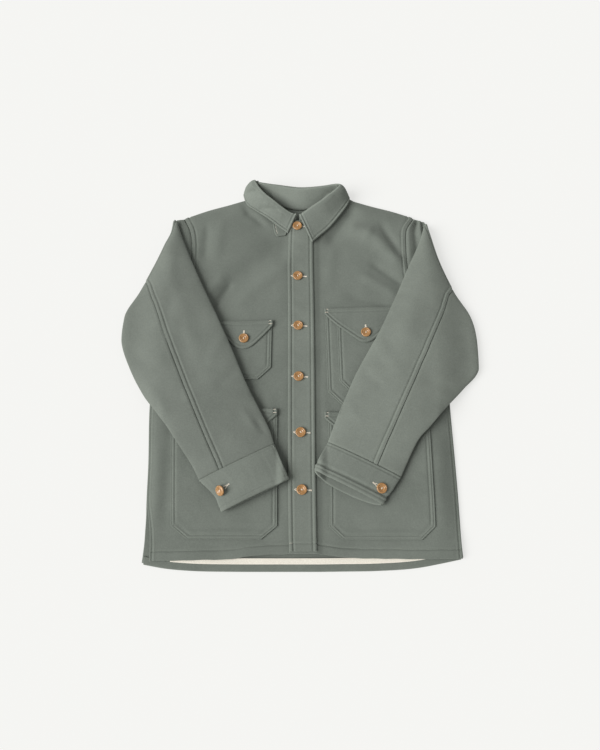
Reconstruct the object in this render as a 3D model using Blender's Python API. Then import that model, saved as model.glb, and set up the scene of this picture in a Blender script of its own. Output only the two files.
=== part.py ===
"""Wool mackinaw jacket laid flat on its back, buttoned, with both sleeves folded over the fronts.

Every length is in millimetres until a mesh is made. +X is the viewer's right, +Y runs from the
hem to the collar and +Z is up, away from the surface that the jacket lies on. Left and right are
the viewer's. Each piece is a sheet of heavy cloth: its points are worked out from the form of what
it lies on, and a Solidify modifier gives it the real thickness of the cloth.
"""

import math

import bpy
import numpy as np

MM = 0.001
MIDDLE = (-2.2, 6.52, 0.0)  # middle of the whole jacket in plan, the part's origin

# Cloth
CLOTH = 2.4                # heavy milled wool
DOUBLE = 4.2               # cuffs, two layers turned and pressed
TAPE = 1.0                 # binding tape inside the back hem
GAP = 0.4                  # air between neighbouring pieces

# Body, from the hem to the neck
LOFT = 11.0                # air between the back and the fronts away from the edges
SIDE_ROUND = 48.0          # width over which a front rises from its side seam
SHOULDER_ROUND = 42.0
HEM_LOFT = 0.18            # share of the loft that is left at the hem
HEM_START = -385.0         # y where the loft starts to grow
HEM_RISE = 120.0           # and the height over which it does
HEM_STACK = 3.6            # turned-up hem and tape that the fronts lie on
HEM_REACH = (26.0, 40.0)   # height of that stack over the hem, and of the ease above it
HEM_CLOTH = 1.8            # the turned-up hem is pressed thinner
NECK_LOFT = 0.62           # share of the loft at the neck
NECK_FADE = (190.0, 130.0)   # y where the loft starts to shrink to that, and the height it takes
NECK_SIDES = (60.0, 90.0)    # distance from the centre where it is whole again, and the width it takes
BRIDGE_OUT = 45.0          # a sleeve leaves the table this far outside the body's edge
BRIDGE_IN = 30.0           # and meets the front this far inside it
OVERLAP_EDGE = 18.0        # x where the left front ends, under the placket
RIGHT_EDGE = -20.0         # x where the right front ends, on top
# Shares of the width of a front where its columns lie, on both sides of the climb to the placket
FRONT_COLUMNS = (0, 0.08, 0.152, 0.2, 0.29, 0.4, 0.51, 0.62, 0.72, 0.81, 0.89, 0.955, 1.0)
CLIMB = (29.0, 13.0)       # x where the right front is down again, and the width of its climb
SHOULDER_OUT = 14.0        # a sleeve rests on the body from this far outside the shoulder line
PLACKET_MIDDLE = 3.0
PLACKET_STEP = (34.0, 16.0)   # half width of the placket under a sleeve, and of the ease beside it
POCKET_EASE = (30.0, 20.0)    # a sleeve leaves a pocket's edge this far outside, over this width
LEVELS = (-383.0, 334.0)   # y of the side seams' foot and of the shoulder point
BUTTON_DIAMETER = 20.0
BUTTON_HEIGHT = 3.6
BUTTON_LIFT = 0.5          # thread shank under a button
BUTTON_SIDES = 14
# share of the radius, share of the height, from the middle of the back to the middle of the face
BUTTON_PROFILE = ((0.0, 0.0), (0.82, 0.0), (1.0, 0.4), (0.95, 0.86), (0.78, 1.0), (0.56, 0.72), (0.0, 0.66))

# Colours, linear
WOOL = (0.178, 0.199, 0.169)
WOOL_LIGHT = (0.215, 0.240, 0.208)
CREAM = (0.78, 0.73, 0.62)
TAN = (0.378, 0.216, 0.098)

# Side of the body at each height: y, outer edge of the back left and right, edge of the front
# left and right. From the armpit up the edge is the armhole seam.
BODY_SIDES = (
    (-399, 291.5, 300, 275, 297),
    (-345, 288, 298, 277, 297),
    (-300, 288, 298, 283, 297),
    (-281, 289, 298, 287, 297),
    (-200, 291, 297, 290, 296),
    (-100, 296, 295, 295, 294),
    (20, 297, 295, 296, 294),
    (96, 292, 290, 291, 289),
    (120, 268, 262, 267, 261),
    (155, 241, 236, 240, 235),
    (200, 230, 226, 229, 225),
    (266, 229, 224, 228, 223),
    (302, 235, 226, 234, 225),
    (334, 249, 243, 248, 242),
)

# Lower edges: x, y of the back hem, y of the front hem
HEMS = (
    (-299, -385, -384),
    (-245, -394, -381),
    (-201, -397.5, -379),
    (-128, -399, -377),
    (-91, -399.5, -372),
    (-20, -400, -368),
    (33, -400, -368),
    (73, -399.5, -374),
    (137, -398, -377),
    (219, -391, -378),
    (260, -382, -378),
    (299, -377, -378),
)

# Upper edges from the left to the right shoulder: x, y of the back, y of the fronts
TOPS = (
    (-249, 338.5, 338.5),
    (-200, 358.2, 358.2),
    (-152, 373.4, 373.4),
    (-120, 384.2, 384.2),
    (-94, 392.5, 391.5),
    (-80, 389, 372),
    (-62, 380, 354),
    (-42, 371, 341),
    (-20, 365, 331),
    (0, 363, 329),
    (20, 365, 331),
    (42, 371, 341),
    (62, 380, 354),
    (80, 388, 371.5),
    (94, 390, 389),
    (120, 380.8, 380.8),
    (152, 370.2, 370.2),
    (200, 356, 356),
    (249, 338, 338),
)

SHOULDER_REACH = (94, 249)    # distances from the centre where the shoulder line starts and ends

# Outline of the whole upper body with the folded sleeve heads: y, x left, x right
SILHOUETTE = (
    (-399, 292, 299),
    (-100, 297, 295),
    (60, 298, 296),
    (150, 296, 294),
    (220, 290, 288),
    (292, 279, 278),
    (332, 268, 268),
    (400, 262, 262),
)

FOLD_LEVEL = 0.3           # a fold keeps its height this share of its length each way from its middle
FOLD_FADE = 0.21           # and fades out over about this share beyond
# Soft folds of the fronts: start x, y, end x, y, half width, height
BODY_FOLDS = (
    (210, 300, 120, 215, 20, 2.6),
    (222, 262, 150, 168, 17, -2.2),
    (224, 226, 160, 142, 16, 2.4),
    (120, 330, 60, 220, 26, 1.6),
    (-205, 300, -150, 190, 20, 1.8),
    (-190, 205, -120, 235, 15, -1.6),
    (-120, 325, -70, 200, 26, 1.4),
)

# Placket on the right front: y, left edge, right edge
PLACKET = (
    (329, -24, 27),
    (226, -26, 27),
    (138, -25, 28),
    (-346, -21, 30.5),
    (-366, -20, 31),
)

PLACKET_SHORT = 1.0        # the placket ends this far below the neck edge

# Button centres on the placket
PLACKET_BUTTONS = ((-6, 313), (-5, 192), (-4, 80), (-3, -29), (1, -143), (3, -254))

# Buttons on the chest flaps: side, centre, layers of cloth under the flap
CHEST_BUTTONS = (("left", -113, 52, 1), ("right", 132, 64, 2))

# Patch pockets: name, x left and right at the top, x left and right at the bottom, y top, y bottom,
# width and height of the cut corners, layers of cloth between it and the front
POCKET_BAGS = (
    ("chest_pocket_left", -171, -57, -169, -58, 84, -34, 26, 25, 0),
    ("chest_pocket_right", 53, 209, 58, 206, 110, -96, 36, 36, 0),
    ("chest_pocket_right_inner", 79, 184, 81, 183, 104, -60, 20, 22, 1),
    ("lower_pocket_left", -251, -44, -238, -42, -100, -344, 30, 24, 0),
    ("lower_pocket_right", 55, 250, 53, 250, -107, -345, 26, 24, 0),
)

# Pocket flaps: name, x left, x right, y of the stitched edge at its middle, rise of that edge to
# its right end, length at the middle, length at the ends, bow of the slopes, share of the half
# width that the rounded tip takes, layers of cloth under it
POCKET_FLAPS = (
    ("chest_flap_left", -172, -55, 91, 2.0, 61, 12, 2.0, 0.4, 1),
    ("chest_flap_right", 49, 215, 120, 3.0, 77, 11, 4.5, 0.2, 2),
    ("lower_flap_left", -250, -44, -95, 0.0, 75, 13, 3.0, 0.3, 1),
    ("lower_flap_right", 47, 250, -102, 0.0, 75, 13, 3.0, 0.3, 1),
)

# Ground that the pockets raise under the sleeves: x left, x right, y bottom, y top, height
RAISED_GROUND = (
    (-172, -55, -36, 92, 6.2),
    (49, 215, -98, 121, 9.0),
    (-251, -43, -346, -94, 2.9),
    (-251, -43, -172, -94, 3.2),
    (47, 251, -346, -101, 2.9),
    (47, 251, -179, -101, 3.2),
)

# Flattened sleeve, from the shoulder to the cuff: x, y of the inner fold, x, y of the outer fold,
# thickness, place of the elbow seam across the upper side (0 outer fold, 1 inner fold)
SLEEVE_LEFT = (
    (-263, 323, -271, 328, 9, 0.0),
    (-256, 304, -274, 293, 11, 0.0),
    (-246, 276, -296, 239, 13, 0.0),
    (-226, 227, -331, 163, 15, 0.15),
    (-205, 179, -359, 108, 16, 0.38),
    (-182, 130, -361, 50, 17, 0.445),
    (-159, 79, -340, -8, 17, 0.44),
    (-132, 18, -306, -68, 16, 0.41),
    (-108, -39, -262, -124, 15, 0.355),
    (-82, -92, -230, -170, 14, 0.31),
    (-60, -136, -205, -207, 13, 0.275),
    (-49, -168, -189, -237, 12, 0.27),
)
SLEEVE_RIGHT = (
    (262, 311, 270, 319, 10, 0.0),
    (256, 287, 275, 292, 12, 0.0),
    (247, 262, 291, 226, 13, 0.0),
    (226, 215, 318, 160, 15, 0.05),
    (206, 168, 347, 108, 16, 0.34),
    (185, 120, 357, 58, 17, 0.44),
    (159, 64, 356, -10, 18, 0.51),
    (132, 15, 322, -52, 17, 0.47),
    (107, -32, 281, -96, 16, 0.41),
    (88, -76, 250, -132, 15, 0.37),
    (70, -118, 222, -164, 14, 0.325),
    (52, -165, 188, -232, 14, 0.32),
)
UNDER_SEAM = 0.62          # place of the forearm seam round the sleeve, 0.5 is the inner fold
SEAM_GAP = 1.0             # a sleeve seam, across its two edges
GIRTH_STEP = 0.008         # share of the girth over which a slope is measured
SLEEVE_LIFT = 1.15         # air under a sleeve
CUFF_LIFT = 1.5            # air under a cuff
TUBE_BOW = 0.8             # 1 makes a flattened tube an ellipse, less squares it off
HEAD_ROWS = (196, 330)     # y of the lower and upper end of a sleeve head
HEAD_SEAM = 0.9            # air between a front and the sleeve head
HEAD_FOOT = (222, 26, 2.5)    # y where that starts to widen, height it takes, added width
HEAD_END = 3.0             # distance from its outer edge in to the outline
HEAD_CROWN = 1.2           # rise of its middle

# Cuffs, from the sleeve to the mouth: x, y of the inner end, x, y of the outer end, thickness at
# the inner end and at the outer end
CUFF_LEFT = (
    (-48.2, -169.6, -188.1, -238.7, 14, 14),
    (-43, -183, -171, -254, 15, 15),
    (-36, -200, -158, -268, 15, 15),
    (-29, -216, -152, -281, 15, 15),
    (-21, -234, -146, -295, 15, 16),
)
CUFF_RIGHT = (
    (51.4, -166.2, 187.4, -233.2, 15, 15),
    (44, -181, 179, -245, 17, 16),
    (36, -195, 171, -257, 20, 16),
    (30, -207, 162, -268, 23, 16),
    (27, -219, 154, -281, 26, 17),
)
RIGHT_UNDER_LIP = 11.0     # how far the under layer of the right cuff stands out of the mouth
LIP_START = 0.4            # share of the cuff's length where that layer starts to lengthen

# Cuff buttons: name, place round the cuff, place along it
CUFF_BUTTONS = (("button_cuff_left", 0.105, 0.45), ("button_cuff_right", 0.115, 0.6))

# Collar from the left front round the back to the right front: x, y of the neck seam, x, y, z of
# the roll, x, y of the outer edge, height of the edge over what it lies on, 0 laid to 1 hanging
COLLAR = (
    (-9, 327, -7, 337, 25, -26, 296, 6.2, 0.0),
    (-22, 330, -21, 340, 27, -43, 309, 7.0, 0.0),
    (-40, 340, -40, 351, 33, -70, 331, 7.0, 0.0),
    (-58, 352, -58, 364, 39, -96, 351, 4.8, 0.1),
    (-74, 366, -75, 377, 43, -114, 367, 4.0, 0.2),
    (-84, 378, -88, 391, 46, -120, 385, 6.0, 0.5),
    (-88, 387, -96, 407, 47, -121, 401, 5.0, 0.9),
    (-74, 384, -82, 402, 43, -97, 411, 2.4, 1.0),
    (-42, 369, -45, 396, 40, -50, 409, 2.4, 1.0),
    (0, 360, 0, 390, 39, 0, 404, 2.4, 1.0),
    (40, 368, 43, 394, 40, 48, 405, 2.4, 1.0),
    (68, 381, 72, 399, 42, 83, 407, 2.4, 1.0),
    (82, 384, 84, 398, 44, 100, 396, 5.0, 0.9),
    (78, 375, 77, 389, 43, 106, 382, 6.0, 0.5),
    (66, 359, 59, 375, 40, 102, 366, 4.0, 0.2),
    (48, 345, 41, 362, 36, 86, 342, 4.0, 0.1),
    (30, 336, 21, 350, 31, 63, 312, 4.0, 0.0),
    (10, 329, 5, 339, 27, 39, 286, 5.4, 0.0),
    (-1, 325, -2, 335, 25, 25, 270, 5.6, 0.0),
)
NECK_BACK = (7, 11)        # stations of the collar that stand on the back's neck
COLLAR_ROLL = 0.42         # share of the collar's depth that the stand takes
COLLAR_CLOTH = 3.36        # doubled cloth, pressed
COLLAR_SINK = 1.6          # the table's edge heights are to the underside of that
NECK_STAND = (2.2, 3.2)    # height of the neck seam over the back's cloth and over the fronts
COLLAR_STEP = (30.0, 14.0)    # half width of the placket under the collar, and of the ease beside it
SHOULDER_END = (2.0, 10.0)    # the collar's edge leaves the front this far below the shoulder line

# Throat tab under the left end of the collar: centre, direction of its length, size
TAB_CENTRE = (-43, 309)
TAB_TURN = math.radians(-78)
TAB_SIZE = (34, 27)
TAB_TAPER = 0.35           # share of the width that its ends lose

# Inside of the back hem
HEM_BAND = 15.0            # height of the turned-up hem
HEM_SIDES = (-285, 293)    # x of its ends
HEM_INSET = 0.5            # it lies this far inside the back's edge
HEM_TAPE = (-216, 230, 12.0, 23.0)   # x left, x right, lower and upper edge over the hem


def clear_scene():
    """Start from an empty scene."""
    for thing in list(bpy.data.objects):
        bpy.data.objects.remove(thing, do_unlink=True)


def smooth(value):
    """Ease from 0 to 1 with level ends."""
    value = np.clip(value, 0.0, 1.0)
    return value * value * (3.0 - 2.0 * value)


def read_table(table, key, column):
    """Read a column of a table at the given values of its first column, rounded at each row."""
    rows = np.array(table, dtype=float)
    at = rows[:, 0]
    values = rows[:, column]
    slopes = np.gradient(values, at)
    key = np.clip(key, at[0], at[-1])
    row = np.clip(np.searchsorted(at, key, side="right") - 1, 0, len(at) - 2)
    span = at[row + 1] - at[row]
    t = (key - at[row]) / span
    rise = values[row + 1] - values[row]
    bound = 3.0 * np.abs(rise)
    start = np.clip(slopes[row] * span, -bound, bound)
    end = np.clip(slopes[row + 1] * span, -bound, bound)
    return (values[row] + start * t + (3 * rise - 2 * start - end) * t ** 2
            + (start + end - 2 * rise) * t ** 3)


def read_stations(table, count):
    """Carry a smooth line through the rows of a table and return count even steps along it."""
    rows = np.array(table, dtype=float)
    steps = np.linspace(0, len(rows) - 1, count)
    numbered = [(index,) + tuple(row) for index, row in enumerate(rows)]
    columns = [read_table(numbered, steps, column + 1) for column in range(rows.shape[1])]
    return np.stack(columns, axis=1)


def rise_from_edge(distance, width):
    """Height share of a soft panel at a distance from its sewn edge."""
    inside = np.clip(distance / width, 0.0, 1.0)
    return 1.0 - (1.0 - inside) ** 2


def ridge(x, y, row):
    """One soft fold: a bell across the line from start to end that fades towards both ends."""
    x0, y0, x1, y1, half_width, height = row
    length = math.hypot(x1 - x0, y1 - y0)
    along = ((x - x0) * (x1 - x0) + (y - y0) * (y1 - y0)) / length ** 2
    across = ((x - x0) * (y1 - y0) - (y - y0) * (x1 - x0)) / length
    fade = np.exp(-(np.clip(np.abs(along - 0.5) - FOLD_LEVEL, 0, None) / FOLD_FADE) ** 2)
    return height * np.exp(-(across / half_width) ** 2) * fade


def side_distance(x, y):
    """Distance in from the outline of the body, shoulder line included."""
    left = read_table(SILHOUETTE, y, 1) + x
    right = read_table(SILHOUETTE, y, 2) - x
    return np.minimum(left, right)


def shoulder_distance(x, y):
    """Distance down from the shoulder line, carried on level across the neck."""
    reach = np.sign(x) * np.clip(np.abs(x), *SHOULDER_REACH)
    return read_table(TOPS, reach, 2) - y


def front_under(x, y):
    """Height of the underside of a front over the surface that the back lies on."""
    side = rise_from_edge(side_distance(x, y), SIDE_ROUND)
    shoulder = rise_from_edge(shoulder_distance(x, y), SHOULDER_ROUND)
    hem = HEM_LOFT + (1.0 - HEM_LOFT) * smooth((y - HEM_START) / HEM_RISE)
    up = smooth((y - NECK_FADE[0]) / NECK_FADE[1])
    out = smooth((np.abs(x) - NECK_SIDES[0]) / NECK_SIDES[1])
    neck = 1.0 - (1.0 - NECK_LOFT) * up * (1.0 - out)
    folds = sum(ridge(x, y, row) for row in BODY_FOLDS)
    over_hem = y - read_table(HEMS, x, 1)
    stack = HEM_STACK * (1.0 - smooth((over_hem - HEM_REACH[0]) / HEM_REACH[1]))
    return CLOTH + GAP + stack + LOFT * side * shoulder * hem * neck + folds * side * shoulder


def overlap_rise(x):
    """The right front climbs over the edge of the left front beside the placket."""
    return (CLOTH + GAP) * (1.0 - smooth((x - CLIMB[0]) / CLIMB[1]))


def front_top(x, y):
    """Height of the outer face of the fronts without the placket."""
    right = np.where(x > PLACKET[0][1], overlap_rise(x), 0.0)
    return front_under(x, y) + right + CLOTH


def ground(x, y):
    """Height of what a sleeve lies on: table, body and pockets, eased at each step."""
    bridge = smooth((side_distance(x, y) + BRIDGE_OUT) / (BRIDGE_OUT + BRIDGE_IN))
    shoulder = rise_from_edge(shoulder_distance(x, y) + SHOULDER_OUT, SHOULDER_ROUND)
    folds = sum(ridge(x, y, row) for row in BODY_FOLDS)
    body = (2 * CLOTH + GAP + (LOFT + folds) * shoulder) * bridge
    beside = smooth((np.abs(x - PLACKET_MIDDLE) - PLACKET_STEP[0]) / PLACKET_STEP[1])
    body = body + (1.0 - beside) * 2.0 * (CLOTH + GAP)
    out, width = POCKET_EASE
    for left, right, bottom, top, height in RAISED_GROUND:
        across = smooth((x - left + out) / width) * smooth((right + out - x) / width)
        up = smooth((y - bottom + out) / width) * smooth((top + out - y) / width)
        body = body + height * across * up
    return body


def cloth_material(name, colour, roughness=0.9):
    """Plain matt finish of one piece."""
    material = bpy.data.materials.new(name + "_finish")
    material.use_nodes = True
    shader = material.node_tree.nodes["Principled BSDF"]
    shader.inputs["Base Color"].default_value = (*colour, 1.0)
    shader.inputs["Roughness"].default_value = roughness
    shader.inputs["Metallic"].default_value = 0.0
    return material


def add_object(name, points, faces, colour, roughness=0.9):
    """Make a mesh object from points in millimetres."""
    mesh = bpy.data.meshes.new(name)
    mesh.from_pydata(((np.asarray(points) - MIDDLE) * MM).tolist(), [], faces)
    mesh.update()
    mesh.shade_smooth()
    mesh.materials.append(cloth_material(name, colour, roughness))
    thing = bpy.data.objects.new(name, mesh)
    bpy.context.scene.collection.objects.link(thing)
    return thing


def grid_faces(rows, columns, closed=False, turned=False):
    """Quads of a grid; closed joins the last column to the first, turned flips the faces."""
    faces = []
    for row in range(rows - 1):
        for column in range(columns if closed else columns - 1):
            after = (column + 1) % columns
            quad = (row * columns + column, row * columns + after,
                    (row + 1) * columns + after, (row + 1) * columns + column)
            faces.append(quad[::-1] if turned else quad)
    return faces


def add_sheet(name, grid, colour=WOOL, thickness=CLOTH, side=1.0, closed=False, turned=False):
    """Cloth over a grid of points; side 1 thickens outwards, -1 inwards and 0 both ways."""
    rows, columns, _ = grid.shape
    faces = grid_faces(rows, columns, closed, turned)
    thing = add_object(name, grid.reshape(-1, 3), faces, colour)
    wall = thing.modifiers.new("Cloth", "SOLIDIFY")
    wall.thickness = thickness * MM
    wall.offset = side
    wall.use_even_offset = False
    wall.use_rim = True
    return thing


def lay(x, y, height):
    """Stack plan positions and heights into a grid of points."""
    return np.stack([x, y, height], axis=-1)


def add_back():
    """Back, flat on the surface, cut in one piece from hem to neck."""
    share = np.linspace(-1, 1, 15)
    down = np.linspace(0, 1, 12)
    a, b = np.meshgrid(share, down)
    level = LEVELS[0] + b * (LEVELS[1] - LEVELS[0])
    half = np.where(a < 0, read_table(BODY_SIDES, level, 1), read_table(BODY_SIDES, level, 2))
    x = a * half
    bottom = read_table(HEMS, x, 1)
    top = read_table(TOPS, x, 1)
    y = bottom + b * (top - bottom)
    add_sheet("back", lay(x, y, np.zeros_like(x)))


def add_back_hem():
    """Turned-up hem of the back and the cream tape over its raw edge."""
    share = np.linspace(0, 1, 2)
    x, b = np.meshgrid(np.linspace(*HEM_SIDES, 17), share)
    y = read_table(HEMS, x, 1) + HEM_INSET + b * HEM_BAND
    add_sheet("back_hem", lay(x, y, np.full_like(x, CLOTH + GAP)), thickness=HEM_CLOTH)

    left, right, low, high = HEM_TAPE
    x, b = np.meshgrid(np.linspace(left, right, 15), share)
    y = read_table(HEMS, x, 1) + low + b * (high - low)
    height = np.full_like(x, CLOTH + HEM_CLOTH + 2 * GAP)
    add_sheet("hem_tape", lay(x, y, height), CREAM, TAPE)


def front_rows():
    """Shares of the height of a front, closer together at the hem and along the armhole."""
    return np.concatenate([
        np.linspace(0, 0.13, 8),
        np.linspace(0.13, 0.66, 12)[1:],
        np.linspace(0.66, 1.0, 10)[1:],
    ])


def front_grid(sign, inner):
    """Plan of one front from its centre edge to the side seam and armhole, hem to neck."""
    a, b = np.meshgrid(FRONT_COLUMNS, front_rows())
    level = LEVELS[0] + b * (LEVELS[1] - LEVELS[0])
    side = read_table(BODY_SIDES, level, 3 if sign < 0 else 4)
    x = inner + a * (sign * side - inner)
    bottom = read_table(HEMS, x, 2)
    top = read_table(TOPS, x, 2)
    y = bottom + b * (top - bottom)
    return x, y


def add_fronts():
    """Both fronts; the right one closes over the left one."""
    x, y = front_grid(-1, OVERLAP_EDGE)
    add_sheet("front_left", lay(x, y, front_under(x, y)), turned=True)
    x, y = front_grid(1, RIGHT_EDGE)
    add_sheet("front_right", lay(x, y, front_under(x, y) + overlap_rise(x)))


def add_placket():
    """Buttonhole band down the edge of the right front."""
    table = PLACKET[::-1]
    foot, head = table[0][0], table[-1][0] - PLACKET_SHORT
    a, y = np.meshgrid(np.linspace(0, 1, 5), foot + front_rows() * (head - foot))
    x = read_table(table, y, 1) * (1 - a) + read_table(table, y, 2) * a
    height = front_under(x, y) + overlap_rise(x) + CLOTH + GAP
    add_sheet("placket", lay(x, y, height), WOOL_LIGHT)


def add_pocket_bags():
    """Patch pockets with cut lower corners, each lying on the front or on another patch."""
    for name, left, right, left_low, right_low, top, bottom, cut_x, cut_y, layers in POCKET_BAGS:
        share = 1 - (1 - np.linspace(0, 1, 8)) ** 1.6
        rows = top + (bottom + cut_y - top) * share
        rows = np.append(rows, [bottom + cut_y / 2, bottom])
        a, y = np.meshgrid(np.linspace(0, 1, 8), rows[::-1])
        down = (top - y) / (top - bottom)
        cut = np.clip((bottom + cut_y - y) / cut_y, 0, 1) * cut_x
        x_left = left + (left_low - left) * down + cut
        x_right = right + (right_low - right) * down - cut
        x = x_left + a * (x_right - x_left)
        height = front_top(x, y) + GAP + layers * (CLOTH + GAP)
        add_sheet(name, lay(x, y, height))


def flap_length(share, middle, end, bow, tip):
    """Length of a flap across its width: slopes to a rounded tip, bowed out most at two thirds."""
    reach = np.abs(share)
    slope = (middle - end) / (1.0 - 0.5 * tip)
    rounded = middle - slope * reach ** 2 / (2.0 * tip)
    straight = middle - slope * (reach - 0.5 * tip)
    bowed = bow * 27.0 / 4.0 * reach ** 2 * (1.0 - reach)
    return np.where(reach < tip, rounded, straight) + bowed


def add_pocket_flaps():
    """Pointed flaps over the pockets."""
    for name, left, right, top, rise, middle, end, bow, tip, layers in POCKET_FLAPS:
        centre = (left + right) / 2
        half = (right - left) / 2
        shares = np.concatenate([np.linspace(-1, -tip, 5), [0.0], np.linspace(tip, 1, 5)])
        a, b = np.meshgrid(shares, np.linspace(1, 0, 5))
        x = centre + a * half
        y = top + rise * a - b * flap_length(a, middle, end, bow, tip)
        height = front_top(x, y) + GAP + layers * (CLOTH + GAP)
        add_sheet(name, lay(x, y, height))


def tube_point(station, girth, floor_lift):
    """Point of a flattened tube: girth 0 is its outer fold, 0.5 its inner fold, 0.75 underneath.

    The share across the tube follows a cosine, so that points gather in the folds, and the
    height is a squared-off ellipse that stands on the ground under it.
    """
    inner = station[..., 0:2]
    outer = station[..., 2:4]
    thick = station[..., 4]
    angle = 2.0 * math.pi * girth
    across = (1.0 - np.cos(angle)) / 2.0
    bow = np.sign(np.sin(angle)) * np.abs(np.sin(angle)) ** TUBE_BOW
    plan = outer + across[..., None] * (inner - outer)
    height = ground(plan[..., 0], plan[..., 1]) + floor_lift + thick * (1.0 + bow) / 2.0
    return np.concatenate([plan, height[..., None]], axis=-1)


def seam_girth(share):
    """Place round the tube of a seam that lies at a share across its upper side."""
    inside = np.arccos(np.clip(1.0 - 2.0 * np.abs(share), -1, 1)) / (2.0 * math.pi)
    return np.sign(share) * inside


def outward(along, round_, inside):
    """Unit normals from the two directions on a surface, pointing away from a point inside."""
    normal = np.cross(along, round_)
    normal = normal / np.linalg.norm(normal, axis=-1, keepdims=True)
    side = np.sum(normal * inside, axis=-1)
    return normal * np.sign(np.sum(side))


def add_wall(name, outer, inner, turned):
    """Solid wall between two grids of the same size, with a rim along the border."""
    rows, columns, _ = outer.shape
    count = rows * columns
    faces = grid_faces(rows, columns, turned=turned)
    faces += [tuple(count + corner for corner in quad[::-1]) for quad in faces]
    index = np.arange(count).reshape(rows, columns)
    border = np.concatenate([index[0], index[1:, -1], index[-1, -2::-1], index[-2::-1, 0]]).tolist()
    for first, second in zip(border, border[1:]):
        quad = (second, first, count + first, count + second)
        faces.append(quad[::-1] if turned else quad)
    points = np.concatenate([outer.reshape(-1, 3), inner.reshape(-1, 3)])
    add_object(name, points, faces, WOOL)


def seam_part(stations, girth):
    """Half the share of the girth that a seam leaves open, from the speed round the tube."""
    ahead = tube_point(stations, girth + GIRTH_STEP, SLEEVE_LIFT)
    behind = tube_point(stations, girth - GIRTH_STEP, SLEEVE_LIFT)
    return SEAM_GAP * GIRTH_STEP / np.linalg.norm(ahead - behind, axis=-1)


def add_sleeve(side, table, turned):
    """Two-piece sleeve: the top piece shows over the inner fold, the under piece at the elbow."""
    stations = read_stations(table, 18)
    elbow = seam_girth(stations[:, 5])
    forearm = np.full_like(elbow, UNDER_SEAM)
    elbow_part = seam_part(stations, elbow)
    forearm_part = seam_part(stations, forearm)
    share = np.linspace(0, 1, 12)
    pieces = (
        ("sleeve_top_" + side, elbow + elbow_part, forearm - forearm_part),
        ("sleeve_under_" + side, forearm + forearm_part, elbow + 1.0 - elbow_part),
    )
    for name, start, end in pieces:
        girth = start[:, None] + share[None, :] * (end - start)[:, None]
        spread = np.repeat(stations[:, None, :], len(share), axis=1)
        outer = tube_point(spread, girth, SLEEVE_LIFT)
        round_ = tube_point(spread, girth + GIRTH_STEP, SLEEVE_LIFT) - tube_point(
            spread, girth - GIRTH_STEP, SLEEVE_LIFT)
        ahead = np.diff(outer, axis=0, append=2 * outer[-1:] - outer[-2:-1])
        behind = np.diff(outer, axis=0, prepend=2 * outer[:1] - outer[1:2])
        middle = (spread[..., 0:2] + spread[..., 2:4]) / 2
        inside = outer - np.concatenate([middle, outer[..., 2:3]], axis=-1)
        normal = outward(ahead + behind, round_, inside)
        add_wall(name, outer, outer - normal * CLOTH, turned=turned)


def cuff_point(table, along, girth, lip):
    """Point on a cuff: along runs 0 to 1 to its mouth, lip lengthens its under layer there."""
    rows = np.array(table, dtype=float)
    numbered = [(index / (len(rows) - 1),) + tuple(row) for index, row in enumerate(rows)]
    *folds, thick_inner, thick_outer = [
        read_table(numbered, along, column + 1) for column in range(rows.shape[1])]
    across = (1.0 - np.cos(2.0 * math.pi * girth)) / 2.0
    thick = thick_outer + across * (thick_inner - thick_outer)
    station = np.stack(folds + [thick], axis=-1)
    point = tube_point(station, girth, CUFF_LIFT)
    axis = (rows[-1, 0:2] + rows[-1, 2:4]) - (rows[0, 0:2] + rows[0, 2:4])
    axis = axis / np.hypot(*axis)
    below = np.clip(-np.sin(2.0 * math.pi * girth), 0, 1)
    under = below * smooth((along - LIP_START) / (1.0 - LIP_START)) * lip
    point[..., 0:2] += under[..., None] * axis
    return point


def add_cuff(side, table, lip, turned):
    """Band cuff of doubled cloth, closed round the end of the sleeve."""
    along, girth = np.meshgrid(np.linspace(0, 1, 5), np.arange(22) / 22, indexing="ij")
    grid = cuff_point(table, along, girth, lip)
    add_sheet("cuff_" + side, grid, thickness=DOUBLE, side=-1.0, closed=True, turned=turned)


def add_sleeve_head(side, sign):
    """Front of the sleeve head, from the armhole seam out to the shoulder."""
    a, y = np.meshgrid(np.linspace(0, 1, 5), np.linspace(*HEAD_ROWS, 8))
    foot, ease, wider = HEAD_FOOT
    seam = HEAD_SEAM + wider * smooth((foot - y) / ease)
    start = read_table(BODY_SIDES, y, 3 if sign < 0 else 4) + seam
    end = read_table(SILHOUETTE, y, 1 if sign < 0 else 2) - HEAD_END
    x = sign * (start + a * (end - start))
    height = front_under(x, y) + HEAD_CROWN * np.sin(math.pi * a)
    add_sheet("sleeve_head_" + side, lay(x, y, height), turned=sign < 0)


def body_top(x, y):
    """Height of the outer face under the collar, placket included."""
    beside = smooth((abs(x - PLACKET_MIDDLE) - COLLAR_STEP[0]) / COLLAR_STEP[1])
    return float(front_top(x, y) + (1.0 - beside) * (CLOTH + GAP))


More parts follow.
